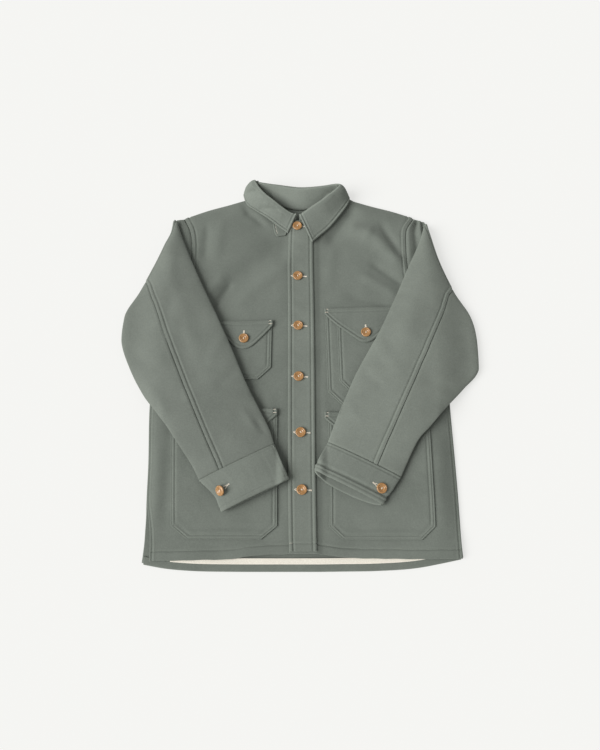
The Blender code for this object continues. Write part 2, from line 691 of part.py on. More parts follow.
def collar_grid(count, depth):
    """Collar: a stand that leans up from the neck seam, a round roll and a fall that lies over."""
    table = []
    for index, (nx, ny, rx, ry, rz, ex, ey, lift, hang) in enumerate(COLLAR):
        if NECK_BACK[0] <= index <= NECK_BACK[1]:
            neck_z = CLOTH + NECK_STAND[0]
        else:
            neck_z = body_top(nx, ny) + NECK_STAND[1]
        inside = smooth(1.0 + (float(shoulder_distance(ex, ey)) + SHOULDER_END[0]) / SHOULDER_END[1])
        edge_z = body_top(ex, ey) * inside + lift - COLLAR_SINK
        table.append((nx, ny, neck_z, rx, ry, rz, ex, ey, edge_z, hang))
    stations = read_stations(table, count)[:, None, :]
    v = np.linspace(0, 1, depth)[None, :, None]
    neck, roll, edge = stations[..., 0:3], stations[..., 3:6], stations[..., 6:9]
    hang = stations[..., 9:10]
    up = np.clip(v / COLLAR_ROLL, 0, 1)
    over = np.clip((v - COLLAR_ROLL) / (1 - COLLAR_ROLL), 0, 1)
    stand = neck + (roll - neck) * up
    level = (1 - hang) * over + hang * np.sin(over * math.pi / 2)
    drop = (1 - hang) * smooth(over) + hang * (1 - np.cos(over * math.pi / 2))
    fall = np.concatenate([
        roll[..., 0:2] + (edge - roll)[..., 0:2] * level,
        roll[..., 2:3] + (edge - roll)[..., 2:3] * drop,
    ], axis=-1)
    return np.where(v < COLLAR_ROLL, stand, fall)


def add_collar():
    """One-piece collar of doubled cloth."""
    grid = collar_grid(33, 10)
    add_sheet("collar", grid, WOOL_LIGHT, COLLAR_CLOTH, 0.0)


def add_throat_tab():
    """Short tab that lies on the left front and shows under the collar."""
    a, b = np.meshgrid(np.linspace(-1, 1, 5), np.linspace(-1, 1, 4))
    length, width = TAB_SIZE
    round_end = 1.0 - TAB_TAPER * np.abs(a) ** 4
    u = a * length / 2
    v = b * width / 2 * round_end
    x = TAB_CENTRE[0] + u * math.cos(TAB_TURN) - v * math.sin(TAB_TURN)
    y = TAB_CENTRE[1] + u * math.sin(TAB_TURN) + v * math.cos(TAB_TURN)
    add_sheet("throat_tab", lay(x, y, front_top(x, y) + GAP))


def add_button(name, centre, axis):
    """Turned button: flat back, round rim and a dished middle, spun round its axis."""
    radius = BUTTON_DIAMETER / 2
    axis = np.asarray(axis) / np.linalg.norm(axis)
    first = np.cross((0.0, 1.0, 0.0), axis)
    first = first / np.linalg.norm(first)
    second = np.cross(axis, first)
    angles = np.arange(BUTTON_SIDES) * 2 * math.pi / BUTTON_SIDES
    points = []
    for share, height in BUTTON_PROFILE[1:-1]:
        ring = share * radius * (np.cos(angles)[:, None] * first + np.sin(angles)[:, None] * second)
        points.extend(ring + centre + axis * height * BUTTON_HEIGHT)
    points.append(np.asarray(centre) + axis * BUTTON_PROFILE[0][1] * BUTTON_HEIGHT)
    points.append(np.asarray(centre) + axis * BUTTON_PROFILE[-1][1] * BUTTON_HEIGHT)
    rings = len(BUTTON_PROFILE) - 2
    count = rings * BUTTON_SIDES
    last = count - BUTTON_SIDES
    faces = grid_faces(rings, BUTTON_SIDES, closed=True)
    for column in range(BUTTON_SIDES):
        after = (column + 1) % BUTTON_SIDES
        faces.append((count, after, column))
        faces.append((count + 1, last + column, last + after))
    add_object(name, np.array(points), faces, TAN, 0.35)


def add_buttons():
    """Six on the placket, one on each chest flap and one on each cuff."""
    up = (0.0, 0.0, 1.0)
    for number, (x, y) in enumerate(PLACKET_BUTTONS, 1):
        under = float(front_under(x, y) + overlap_rise(x)) + 2 * CLOTH + GAP
        add_button(f"button_placket_{number}", (x, y, under + BUTTON_LIFT), up)
    for name, x, y, layers in CHEST_BUTTONS:
        under = float(front_top(x, y)) + (layers + 1) * (CLOTH + GAP)
        add_button("button_chest_" + name, (x, y, under + BUTTON_LIFT), up)
    tables = {"button_cuff_left": (CUFF_LEFT, 0.0), "button_cuff_right": (CUFF_RIGHT, RIGHT_UNDER_LIP)}
    for name, girth, along in CUFF_BUTTONS:
        table, lip = tables[name]
        here, next_round, next_along = (
            cuff_point(table, np.array(along + da), np.array(girth + dg), lip)
            for da, dg in ((0, 0), (0, GIRTH_STEP), (GIRTH_STEP, 0)))
        normal = np.cross(next_round - here, next_along - here)
        normal = normal * np.sign(normal[2]) / np.linalg.norm(normal)
        add_button(name, here + normal * BUTTON_LIFT, normal)


def build():
    """Put the jacket together from the back outwards."""
    clear_scene()
    add_back()
    add_back_hem()
    add_fronts()
    add_placket()
    add_pocket_bags()
    add_pocket_flaps()
    add_sleeve_head("left", -1)
    add_sleeve_head("right", 1)
    add_sleeve("left", SLEEVE_LEFT, turned=True)
    add_sleeve("right", SLEEVE_RIGHT, turned=False)
    add_cuff("left", CUFF_LEFT, 0.0, turned=True)
    add_cuff("right", CUFF_RIGHT, RIGHT_UNDER_LIP, turned=False)
    add_throat_tab()
    add_collar()
    add_buttons()


build()
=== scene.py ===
import math

import bpy
import numpy as np
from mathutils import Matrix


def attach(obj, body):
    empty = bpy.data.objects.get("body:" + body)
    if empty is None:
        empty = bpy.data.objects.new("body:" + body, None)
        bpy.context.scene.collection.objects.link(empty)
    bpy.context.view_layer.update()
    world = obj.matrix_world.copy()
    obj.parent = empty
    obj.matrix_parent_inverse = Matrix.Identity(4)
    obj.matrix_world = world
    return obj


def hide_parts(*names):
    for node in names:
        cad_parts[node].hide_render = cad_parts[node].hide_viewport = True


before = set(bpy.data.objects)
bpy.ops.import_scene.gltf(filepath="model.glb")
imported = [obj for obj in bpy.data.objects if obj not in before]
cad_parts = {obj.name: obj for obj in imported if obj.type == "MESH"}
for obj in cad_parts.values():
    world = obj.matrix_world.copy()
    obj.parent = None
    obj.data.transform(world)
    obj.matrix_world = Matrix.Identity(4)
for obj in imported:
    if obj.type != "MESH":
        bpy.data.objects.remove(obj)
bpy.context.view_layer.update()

# Back
# The back is cut in one piece from heavy milled wool and lies flat on the table. Its hem is turned
# up to the inside, which shows below the shorter fronts.

MIDDLE = (-2.2, 6.52, 0.0)  # middle of the whole jacket in plan; tables are in mm from the placket
CLOTH = 2.4                 # thickness of the wool
GAP = 0.4                   # air between pieces
EDGE = (0.0, 0.2, 0.6, 1.2, 2.0)   # distances from an edge at which its rounding is drawn
BODY_LOW = -383.0           # y at which the body's edges are read for its lowest and highest rows
BODY_HIGH = 338.0

# y, outer edge of the back left and right, edge of the front left and right
BODY_SIDES = (
    (-399, 291.5, 300, 275, 297),
    (-345, 288, 298, 277, 297),
    (-300, 288, 298, 283, 297),
    (-281, 289, 298, 287, 297),
    (-200, 291, 297, 290, 296),
    (-100, 296, 295, 295, 294),
    (20, 297, 295, 296, 294),
    (96, 292, 290, 291, 289),
    (120, 268, 262, 267, 261),
    (155, 241, 236, 240, 235),
    (200, 230, 226, 229, 225),
    (266, 229, 224, 228, 223),
    (302, 235, 226, 234, 225),
    (334, 249, 243, 248, 242),
)
# x, y of the back hem, y of the front hem
HEMS = (
    (-299, -386, -384),
    (-245, -395.5, -382),
    (-201, -399.2, -381),
    (-128, -400.8, -379),
    (-91, -401, -374),
    (-20, -401, -370),
    (33, -401, -370),
    (73, -400.5, -375.5),
    (137, -399.5, -378),
    (219, -393.5, -379),
    (260, -386, -379),
    (299, -378, -378),
)
# x, y of the back's top edge, y of the front's
TOPS = (
    (-249, 338.5, 338.5),
    (-200, 358.2, 358.2),
    (-152, 373.4, 373.4),
    (-120, 384.2, 384.2),
    (-94, 392.5, 391.5),
    (-80, 389, 372),
    (-62, 380, 354),
    (-42, 371, 341),
    (-20, 365, 331),
    (0, 363, 329),
    (20, 365, 331),
    (42, 371, 341),
    (62, 380, 354),
    (80, 388, 371.5),
    (94, 390, 389),
    (120, 380.8, 380.8),
    (152, 370.2, 370.2),
    (200, 356, 356),
    (249, 338, 338),
)


def smooth(value):
    """Ease from 0 to 1 with level ends: 3 v squared less 2 v cubed."""
    value = np.clip(value, 0.0, 1.0)
    return value * value * (3.0 - 2.0 * value)


def read_table(table, key, column):
    """Read a column of a table at values of its first one, along cubics that are round at each row."""
    rows = np.array(table, dtype=float)
    at = rows[:, 0]
    values = rows[:, column]
    slopes = np.gradient(values, at)
    key = np.clip(key, at[0], at[-1])
    row = np.clip(np.searchsorted(at, key, side="right") - 1, 0, len(at) - 2)
    span = at[row + 1] - at[row]
    t = (key - at[row]) / span
    rise = values[row + 1] - values[row]
    bound = 3.0 * np.abs(rise)
    start = np.clip(slopes[row] * span, -bound, bound)
    end = np.clip(slopes[row + 1] * span, -bound, bound)
    return (values[row] + start * t + (3 * rise - 2 * start - end) * t ** 2
            + (start + end - 2 * rise) * t ** 3)


def shares(length, near, step):
    """Places along a strip as shares of its length: the near distances from both ends, then even steps."""
    near = np.array(near, dtype=float)
    inner = np.linspace(near[-1], length - near[-1], max(3, int((length - 2 * near[-1]) / step)))
    return np.concatenate([near[:-1], inner, (length - near[:-1])[::-1]]) / length


def lay(x, y, height):
    """Stack plan positions and heights into a grid of points."""
    return np.stack(np.broadcast_arrays(x, y, height), axis=-1)


def line_lengths(points):
    """Lengths along the grid lines from the first column and from the first row."""
    across = np.cumsum(np.linalg.norm(np.diff(points, axis=1), axis=-1), axis=1)
    up = np.cumsum(np.linalg.norm(np.diff(points, axis=0), axis=-1), axis=0)
    return np.pad(across, ((0, 0), (1, 0))), np.pad(up, ((1, 0), (0, 0)))


def edge_distance(points):
    """Distance from the nearest edge of a sheet, along its lines."""
    across, up = line_lengths(points)
    return np.minimum(np.minimum(across, across[:, -1:] - across), np.minimum(up, up[-1:] - up))


def face_normals(points, closed=False):
    """Unit normals: the cross product of the slopes along the rows and up the columns."""
    if closed:
        across = np.roll(points, -1, axis=1) - np.roll(points, 1, axis=1)
    else:
        across = np.gradient(points, axis=1)
    normal = np.cross(across, np.gradient(points, axis=0))
    return normal / np.maximum(np.linalg.norm(normal, axis=-1, keepdims=True), 1e-9)


def make_mesh(name, points, faces, material):
    """Object from points in mm and an array of faces with the same number of corners each."""
    mesh = bpy.data.meshes.new(name)
    mesh.vertices.add(len(points))
    mesh.vertices.foreach_set("co", ((points - MIDDLE) * 0.001).astype(np.float32).ravel())
    corners = faces.shape[1]
    mesh.loops.add(faces.size)
    mesh.loops.foreach_set("vertex_index", faces.astype(np.int32).ravel())
    mesh.polygons.add(len(faces))
    mesh.polygons.foreach_set("loop_start", np.arange(0, faces.size, corners, dtype=np.int32))
    mesh.update(calc_edges=True)
    mesh.shade_smooth()
    mesh.materials.append(material)
    thing = bpy.data.objects.new(name, mesh)
    bpy.context.scene.collection.objects.link(thing)
    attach(thing, "root")
    return thing


def grid_quads(rows, columns, closed=False):
    """Quads of a grid of points, numbered row by row; closed joins the last column to the first."""
    index = np.arange(rows * columns).reshape(rows, columns)
    after = np.roll(index, -1, axis=1)
    if not closed:
        index, after = index[:, :-1], after[:, :-1]
    quads = np.stack([index[:-1], after[:-1], after[1:], index[1:]], axis=-1)
    return quads.reshape(-1, 4)


def make_cloth(name, outer, thick, material, relief):
    """Closed skin of a sheet of cloth with round edges, and its face.

    The wall's share at a distance from an edge is a quarter circle. The face stands out from
    the middle of the wall by half the thickness times that share, plus the relief; the back
    stands in by the same half. A strip joins the two along the edges.
    """
    rows, columns, _ = outer.shape
    edge = edge_distance(outer)
    share = np.sqrt(1.0 - (1.0 - np.clip(edge / (0.6 * thick), 0.03, 1.0)) ** 2)
    normal = face_normals(outer)
    face = outer + normal * (relief - thick / 2 * (1 - share))[..., None]
    inside = outer - normal * (thick / 2 * (1 + share))[..., None]
    count = rows * columns
    quads = grid_quads(rows, columns)
    index = np.arange(count).reshape(rows, columns)
    border = np.concatenate([index[0], index[1:, -1], index[-1, -2::-1], index[-2::-1, 0]])
    rim = np.stack([border[:-1], border[:-1] + count, border[1:] + count, border[1:]], axis=-1)
    faces = np.concatenate([quads, quads[:, ::-1] + count, rim])
    thing = make_mesh(name, np.concatenate([face.reshape(-1, 3), inside.reshape(-1, 3)]), faces, material)
    return thing, face, normal


def declare_cloth(node):
    """Hide the part of the model that a sheet of cloth stands for."""
    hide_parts(node)


def cloth_piece(node, outer, thick, material, relief=0.0):
    thing, face, normal = make_cloth("jacket_" + node, outer, thick, material, relief)
    declare_cloth(node)
    return thing, face, normal


def add_node(tree, kind, links=(), **values):
    """New shader node with its values set and its inputs linked to the sockets given by name."""
    node = tree.nodes.new(kind)
    for key, value in values.items():
        if hasattr(node, key):
            setattr(node, key, value)
        else:
            node.inputs[key.replace("_", " ")].default_value = value
    for socket, source in dict(links).items():
        tree.links.new(source, node.inputs[socket])
    return node


def start_finish(name):
    """New material with its node tree and shader, and the place on the object."""
    material = bpy.data.materials.new(name)
    material.use_nodes = True
    tree = material.node_tree
    place = add_node(tree, "ShaderNodeTexCoord").outputs["Object"]
    return material, tree, tree.nodes["Principled BSDF"], place


def two_tones(tree, source, dark, light, levels):
    """Base colour that runs from dark to light between two levels of the source."""
    ramp = add_node(tree, "ShaderNodeValToRGB", {"Fac": source})
    for element, tone, level in zip(ramp.color_ramp.elements, (dark, light), levels):
        element.position = level
        element.color = (*tone, 1.0)
    tree.links.new(ramp.outputs[0], tree.nodes["Principled BSDF"].inputs["Base Color"])


def scaled(tree, source, factor, added=None):
    """Output of a source times a factor, plus another source if there is one."""
    if added is None:
        node = add_node(tree, "ShaderNodeMath", {0: source}, operation="MULTIPLY")
    else:
        node = add_node(tree, "ShaderNodeMath", {0: source, 2: added}, operation="MULTIPLY_ADD")
    node.inputs[1].default_value = factor
    return node.outputs[0]


def wool_finish(name, dark, light):
    """Milled wool: felted face with short nap down the cloth, mottled between two tones.

    Tone is a sum of three noises: fibres of about 1 mm drawn out along the cloth, flecks of
    4 mm and clouds of 60 mm. The fibres and flecks also raise the surface.
    """
    material, tree, shader, place = start_finish(name)
    along = add_node(tree, "ShaderNodeMapping", {"Vector": place}, Scale=(1.0, 0.45, 1.0)).outputs[0]
    fibre = add_node(tree, "ShaderNodeTexNoise", {"Vector": along}, Scale=1500.0, Detail=4.0, Roughness=0.7)
    fleck = add_node(tree, "ShaderNodeTexNoise", {"Vector": place}, Scale=330.0, Detail=3.0, Roughness=0.6)
    cloud = add_node(tree, "ShaderNodeTexNoise", {"Vector": place}, Scale=17.0, Detail=3.0, Roughness=0.55)
    tone = scaled(tree, fibre.outputs[0], 0.5)
    tone = scaled(tree, fleck.outputs[0], 0.25, tone)
    tone = scaled(tree, cloud.outputs[0], 0.25, tone)
    two_tones(tree, tone, dark, light, (0.36, 0.64))
    nap = add_node(tree, "ShaderNodeBump", {"Height": fibre.outputs[0]}, Strength=0.5, Distance=0.0006)
    felt = add_node(tree, "ShaderNodeBump", {"Height": fleck.outputs[0], "Normal": nap.outputs[0]},
                    Strength=0.35, Distance=0.0008)
    tree.links.new(felt.outputs[0], shader.inputs["Normal"])
    shader.inputs["Roughness"].default_value = 0.92
    shader.inputs["Specular IOR Level"].default_value = 0.22
    shader.inputs["Sheen Weight"].default_value = 0.25
    shader.inputs["Sheen Roughness"].default_value = 0.45
    shader.inputs["Sheen Tint"].default_value = (0.80, 0.86, 0.76, 1.0)
    return material


body_wool = wool_finish("body_wool", (0.116, 0.130, 0.112), (0.174, 0.193, 0.167))
FOLD = 2.8                  # the back stops this far inside the fold of its hem
BACK_SIZE = (586, 760)
BACK_STEP = 9               # mm between grid lines
ALLOWANCE = 5.0             # seam allowance under the sleeve heads

a, b = np.meshgrid(shares(BACK_SIZE[0], EDGE, BACK_STEP) * 2 - 1, shares(BACK_SIZE[1], EDGE, BACK_STEP))
level = BODY_LOW + b * (BODY_HIGH - BODY_LOW)
half = np.where(a < 0, read_table(BODY_SIDES, level, 1), read_table(BODY_SIDES, level, 2))
half = half + ALLOWANCE * smooth((level - 130) / 30)
back_x = a * half
back_low = read_table(HEMS, back_x, 1) + FOLD
back_y = back_low + b * (read_table(TOPS, back_x, 1) - back_low)
cloth_piece("back", lay(back_x, back_y, CLOTH), CLOTH, body_wool)

# Turned-up hem and hem tape
# The lower edge of the back is folded up inside and pressed thin. A cream cotton twill tape with a
# row of stitches along each side binds its raw edge.

HEM_BAND = 15.0             # how far the hem is turned up
HEM_CLOTH = 1.8             # thicknesses of the pressed hem and of the tape
TAPE = 1.0
TAPE_PLACE = (-238, 246, 13.0, 24.0)   # x left, x right, lower and upper edge over the hem
FOLD_RADIUS = 2.3           # outer radius of the folded edge


def hem_profile(share):
    """Distance over the hem edge and height: half a circle round the fold, then level to the top."""
    turn = math.pi * FOLD_RADIUS
    length = share * (turn + HEM_BAND - FOLD_RADIUS)
    angle = np.clip(length / FOLD_RADIUS, 0, math.pi)
    reach = FOLD_RADIUS * (1 - np.sin(angle)) + np.clip(length - turn, 0, None)
    return reach, FOLD_RADIUS * (1 - np.cos(angle))


columns = shares(582, EDGE, 4) * 582 - 287
rows = np.concatenate([np.linspace(0, 0.42, 12), np.linspace(0.42, 1, 14)[1:]])
x, b = np.meshgrid(columns, rows)
reach, height = hem_profile(b)
wave = 0.35 * np.sin(x / 13.0) * np.sin(x / 31.0 + 1.0)
hem_top = lay(x, read_table(HEMS, x, 1) + reach + wave * smooth(reach / 8), height)
cloth_piece("back_hem", hem_top, HEM_CLOTH, body_wool)


def lens_template(sides=6):
    """A lens of unit half length: two tips and three rings, with its triangles."""
    turn = np.arange(sides) * 2 * math.pi / sides
    rings = [(-0.6, 0.8), (0.0, 1.0), (0.6, 0.8)]
    points = [(-1.0, 0.0, 0.0)] + [(u, r * math.cos(t), r * math.sin(t)) for u, r in rings for t in turn]
    points.append((1.0, 0.0, 0.0))
    faces = []
    for side in range(sides):
        after = (side + 1) % sides
        faces.append((0, 1 + after, 1 + side))
        for ring in range(len(rings) - 1):
            low, high = 1 + ring * sides, 1 + (ring + 1) * sides
            faces += [(low + side, low + after, high + after), (low + side, high + after, high + side)]
        last = 1 + (len(rings) - 1) * sides
        faces.append((last + side, last + after, len(points) - 1))
    return np.array(points), np.array(faces)


def thread_lenses(places, tangents, normals, size):
    """Points and triangles of a lens at each place, its length along the tangent."""
    template, triangles = lens_template()
    tangents = tangents / np.linalg.norm(tangents, axis=-1, keepdims=True)
    sideways = np.cross(normals, tangents)
    sideways = sideways / np.linalg.norm(sideways, axis=-1, keepdims=True)
    axes = np.stack([tangents, sideways, np.cross(tangents, sideways)], axis=1)
    points = places[:, None, :] + np.einsum("tk,k,nkd->ntd", template, np.array(size), axes)
    faces = triangles[None] + (np.arange(len(places)) * len(template))[:, None, None]
    return points.reshape(-1, 3), faces.reshape(-1, 3)


def stitch_row(points, normals, pitch=3.3, size=(1.45, 0.42, 0.34), sink=0.12):
    """One row of thread lenses at even steps along a line on the cloth."""
    length = np.cumsum(np.linalg.norm(np.diff(points, axis=0), axis=-1))
    length = np.concatenate([[0.0], length])
    at = np.arange(pitch * 0.6, length[-1] - pitch * 0.4, pitch)

    def along(values, where):
        return np.stack([np.interp(where, length, values[:, k]) for k in range(3)], axis=-1)

    ahead = along(points, at + pitch * 0.3) - along(points, at - pitch * 0.3)
    up = along(normals, at)
    return thread_lenses(along(points, at) - up * sink, ahead, up, size)


def sew(name, rows, material):
    """Put rows of stitches or other thread into one piece."""
    points, faces, start = [], [], 0
    for row_points, row_faces in rows:
        points.append(row_points)
        faces.append(row_faces + start)
        start += len(row_points)
    thing = make_mesh(name, np.concatenate(points), np.concatenate(faces), material)
    return thing


def topstitch(name, face, normal, lines):
    """Rows of wool-coloured stitches along lines of the grid, given as indices."""
    sew(name + "_stitching", [stitch_row(face[line], normal[line]) for line in lines], wool_thread)


def plain_finish(name, dark, light, scale, roughness, bump):
    """Thread or tape: two tones and a fine relief from one noise of the given scale."""
    material, tree, shader, place = start_finish(name)
    grain = add_node(tree, "ShaderNodeTexNoise", {"Vector": place}, Scale=scale, Detail=3.0)
    two_tones(tree, grain.outputs[0], dark, light, (0.35, 0.65))
    raised = add_node(tree, "ShaderNodeBump", {"Height": grain.outputs[0]}, Strength=0.6, Distance=bump)
    tree.links.new(raised.outputs[0], shader.inputs["Normal"])
    shader.inputs["Roughness"].default_value = roughness
    shader.inputs["Sheen Weight"].default_value = 0.15
    return material


def twill_finish():
    """Cream cotton twill: slanting ribs 0.9 mm apart, crossed by a faint mottle."""
    material = plain_finish("cream_twill", (0.66, 0.62, 0.53), (0.80, 0.76, 0.67), 900.0, 0.85, 0.0002)
    tree = material.node_tree
    shader = tree.nodes["Principled BSDF"]
    place = add_node(tree, "ShaderNodeTexCoord").outputs["Object"]
    ribs = add_node(tree, "ShaderNodeTexWave", {"Vector": place}, bands_direction="DIAGONAL", Scale=180.0,
                    Distortion=0.4)
    raised = add_node(tree, "ShaderNodeBump", {"Height": ribs.outputs["Fac"]}, Strength=0.5, Distance=0.0003)
    tree.links.new(raised.outputs[0], shader.inputs["Normal"])
    return material


twill = twill_finish()
cream_thread = plain_finish("cream_thread", (0.62, 0.56, 0.46), (0.80, 0.74, 0.63), 2500.0, 0.7, 0.0001)
wool_thread = plain_finish("wool_thread", (0.150, 0.170, 0.142), (0.215, 0.238, 0.200), 2500.0, 0.6, 0.0001)

left, right, low, high = TAPE_PLACE
tape_near = EDGE + (2.4, 3.0)
x, b = np.meshgrid(np.linspace(left, right, 240), shares(high - low, tape_near, 1.5))
y = read_table(HEMS, x, 1) + low + b * (high - low)
tape_rise = CLOTH + HEM_CLOTH + 2 * GAP + TAPE + 0.35 * np.sin(x / 17.0) * smooth(b)
_, face, normal = cloth_piece("hem_tape", lay(x, y, tape_rise), TAPE, twill)
row = tape_near.index(2.4)
sew("tape_stitching", [stitch_row(face[k], normal[k]) for k in (row, -1 - row)], cream_thread)

# Fronts
# Two fronts of the same wool, sewn to the back at the sides and shoulders. Their hems are turned up
# and stitched 17 mm from the edge, the side seams are topstitched and end above open vents, and
# the right one closes over the left one.

LOFT = 11.0                 # height of the air inside the body
SIDE_ROUND = 48.0           # width over which the loft grows from the side and from the shoulder
SHOULDER_ROUND = 42.0
HEM_LOFT = 0.18             # share of the loft left at the hem, y where it grows from, and how far
HEM_START = -385.0
HEM_RISE = 120.0
HEM_STACK = 3.6             # rise over the turned-up hem and its tape, its width, and how it eases
STACK_WIDE = 26.0
STACK_EASE = 40.0
NECK_LOFT = 0.62            # share of the loft left at the neck, and where it eases in y and in x
NECK_START = 190.0
NECK_RISE = 130.0
NECK_HALF = 60.0
NECK_EASE = 90.0
OVERLAP_EDGE = 18.0         # x of the left front's inner edge and of the right front's
RIGHT_EDGE = -20.0
OVERLAP_END = 29.0          # x at which the right front begins to come down, and over what width
OVERLAP_EASE = 13.0
HEM_STITCH = 17.0           # distances of the rows of stitches from the edges
SIDE_STITCH = 5.0
ARMHOLE_STITCH = 10.0
ARMPIT = 130.0              # y at which the side's stitches end and those of the armhole begin
FRONT_SIZE = (300, 712)
# y, x left and right of the outline with the folded sleeve heads
SILHOUETTE = (
    (-399, 292, 299),
    (-100, 297, 295),
    (60, 298, 296),
    (150, 296, 294),
    (220, 290, 288),
    (292, 279, 278),
    (332, 268, 268),
    (400, 262, 262),
)
# start x, y, end x, y, half width, height of the folds pulled from the armholes and of lesser ones
FRONT_FOLDS = (
    (172, 322, 212, 241, 9, -3.9),
    (104, 312, 152, 292, 17, 6.5),
    (148, 298, 212, 218, 16, 8.0),
    (150, 226, 212, 176, 9, -3.9),
    (128, 198, 200, 150, 11, 3.6),
    (96, 150, 186, 128, 11, -2.7),
    (70, 262, 58, 168, 13, 1.8),
    (-143, 180, -184, 120, 7, -4.4),
    (-156, 194, -204, 146, 11, 3.3),
    (-198, 316, -200, 240, 9, -2.7),
    (-166, 324, -178, 236, 13, 2.4),
    (-28, 282, -174, 140, 28, -7.5),
    (-26, 226, -126, 138, 17, 3.8),
    (-96, 352, -50, 300, 14, 2.1),
    (-278, -90, -272, -330, 12, 2.6),
    (-250, -90, -250, -320, 12, -2.6),
    (-276, -60, -270, -170, 9, -1.2),
    (268, -160, 262, -320, 13, 1.4),
    (240, 20, 236, -90, 11, -1.5),
    (150, 12, 90, 30, 12, -0.8),
    (-62, -60, -44, -180, 10, 1.2),
    (-36, -210, -34, -300, 9, -1.0),
    (44, -30, 50, -120, 9, 1.0),
    (-150, -352, -60, -356, 9, 0.9),
    (110, -356, 190, -352, 8, 0.8),
    (-126, 380, -110, 342, 7, -2.6),
    (-112, 350, -76, 316, 7, -2.6),
    (60, 276, 118, 362, 15, -8.0),
    (-26, 300, -40, 226, 13, -2.2),
)


def rise_from_edge(distance, width):
    """Height share of a soft panel at a distance from its sewn edge: 1 less (1 - share) squared."""
    inside = np.clip(distance / width, 0.0, 1.0)
    return 1.0 - (1.0 - inside) ** 2


def ridge(x, y, row):
    """One soft fold: a bell across the line from start to end that fades towards both ends."""
    x0, y0, x1, y1, half_width, height = row
    length = math.hypot(x1 - x0, y1 - y0)
    along = ((x - x0) * (x1 - x0) + (y - y0) * (y1 - y0)) / length ** 2
    across = ((x - x0) * (y1 - y0) - (y - y0) * (x1 - x0)) / length
    fade = np.exp(-(np.clip(np.abs(along - 0.5) - 0.3, 0, None) / 0.21) ** 2)
    return height * np.exp(-(across / half_width) ** 2) * fade


def side_distance(x, y):
    """Distance in from the outline of the body."""
    return np.minimum(read_table(SILHOUETTE, y, 1) + x, read_table(SILHOUETTE, y, 2) - x)


def shoulder_distance(x, y):
    """Distance down from the shoulder line, carried on level across the neck."""
    return read_table(TOPS, np.sign(x) * np.clip(np.abs(x), 94, 249), 2) - y


def front_under(x, y):
    """Height of the underside of a front: its loft times the shares of every edge, plus its folds."""
    side = rise_from_edge(side_distance(x, y), SIDE_ROUND)
    shoulder = rise_from_edge(shoulder_distance(x, y), SHOULDER_ROUND)
    hem = HEM_LOFT + (1.0 - HEM_LOFT) * smooth((y - HEM_START) / HEM_RISE)
    at_neck = smooth((y - NECK_START) / NECK_RISE)
    neck = 1.0 - (1.0 - NECK_LOFT) * at_neck * (1.0 - smooth((np.abs(x) - NECK_HALF) / NECK_EASE))
    folds = sum(ridge(x, y, row) for row in FRONT_FOLDS)
    stack = HEM_STACK * (1.0 - smooth((y - read_table(HEMS, x, 1) - STACK_WIDE) / STACK_EASE))
    return CLOTH + GAP + stack + LOFT * side * shoulder * hem * neck + folds * side * shoulder


def overlap_rise(x):
    """The right front climbs over the edge of the left front beside the placket."""
    return (CLOTH + GAP) * (1.0 - smooth((x - OVERLAP_END) / OVERLAP_EASE))


def front_top(x, y):
    """Height of the outer face of the fronts without the placket."""
    return front_under(x, y) + np.where(x > -24, overlap_rise(x), 0.0) + CLOTH


def groove(distance, at, depth=0.9, width=1.5):
    """Dent that a row of stitches pulls into the cloth: a bell, with a low puff on both sides."""
    off = np.abs(distance - at) / width
    return depth * (0.42 * np.exp(-(off - 2.4) ** 2) - np.exp(-off ** 2))


def pucker(length, strength):
    """Uneven pull along a seam: three waves of about 9, 14 and 31 mm."""
    return strength * (np.sin(length * 0.7) + np.sin(length * 0.45 + 1.3) + np.sin(length * 0.2 + 2.1)) / 3


front_near = EDGE + (3.2, 4.2, 5.0, 5.8, 6.8, 8.0, 9.0, 10.0, 11.0, 12.5, 14.5)
hem_near = EDGE + (4.0, 8.0, 12.0, 14.5, 15.7, 16.4, 17.0, 17.6, 18.3, 19.5, 22.0, 26.0)
front_rows = shares(FRONT_SIZE[1], hem_near, 4.5)
for side, sign, inner, table_column in (("left", -1, OVERLAP_EDGE, 3), ("right", 1, RIGHT_EDGE, 4)):
    a, b = np.meshgrid(shares(FRONT_SIZE[0], front_near, 4.0), front_rows)
    level = BODY_LOW + b * (BODY_HIGH - BODY_LOW)
    x = inner + a * (sign * read_table(BODY_SIDES, level, table_column) - inner)
    low = read_table(HEMS, x, 2) + 0.5 * np.sin(x / 9.0 + sign) * np.sin(x / 23.0)
    y = low + b * (read_table(TOPS, x, 2) - low)
    x = inner + a * (sign * read_table(BODY_SIDES, y, table_column) - inner)
    if sign < 0:
        x, y = x[:, ::-1], y[:, ::-1]
    rise = np.where(sign > 0, overlap_rise(x), 0.0)
    outer = lay(x, y, front_under(x, y) + rise + CLOTH)
    across, up = line_lengths(outer)
    from_side = across if sign < 0 else across[:, -1:] - across
    relief = groove(up, HEM_STITCH) + 0.6 * smooth((HEM_STITCH - up) / 2.0)
    above = smooth((y - 120) / 30)
    relief = relief + groove(from_side, SIDE_STITCH, 0.8) * (1 - above)
    relief = relief + groove(from_side, ARMHOLE_STITCH) * above
    relief = relief + 0.5 * above * smooth((ARMHOLE_STITCH - from_side) / 3) * smooth(from_side / 3)
    relief = relief + pucker(x, 0.22) * np.exp(-((up - 12) / 9) ** 2)
    relief = relief + pucker(y, 0.2) * np.exp(-((from_side - 9) / 7) ** 2)
    name = "front_" + side
    _, face, normal = cloth_piece(name, outer, CLOTH, body_wool, relief)
    side_column, arm_column = (front_near.index(at) for at in (SIDE_STITCH, ARMHOLE_STITCH))
    if sign > 0:
        side_column, arm_column = -1 - side_column, -1 - arm_column
    armpit = int(np.argmin(np.abs(y[:, 0] - ARMPIT)))
    topstitch(name, face, normal, [np.s_[hem_near.index(HEM_STITCH), 8:-8], np.s_[3:armpit, side_column],
                                   np.s_[armpit:-3, arm_column]])

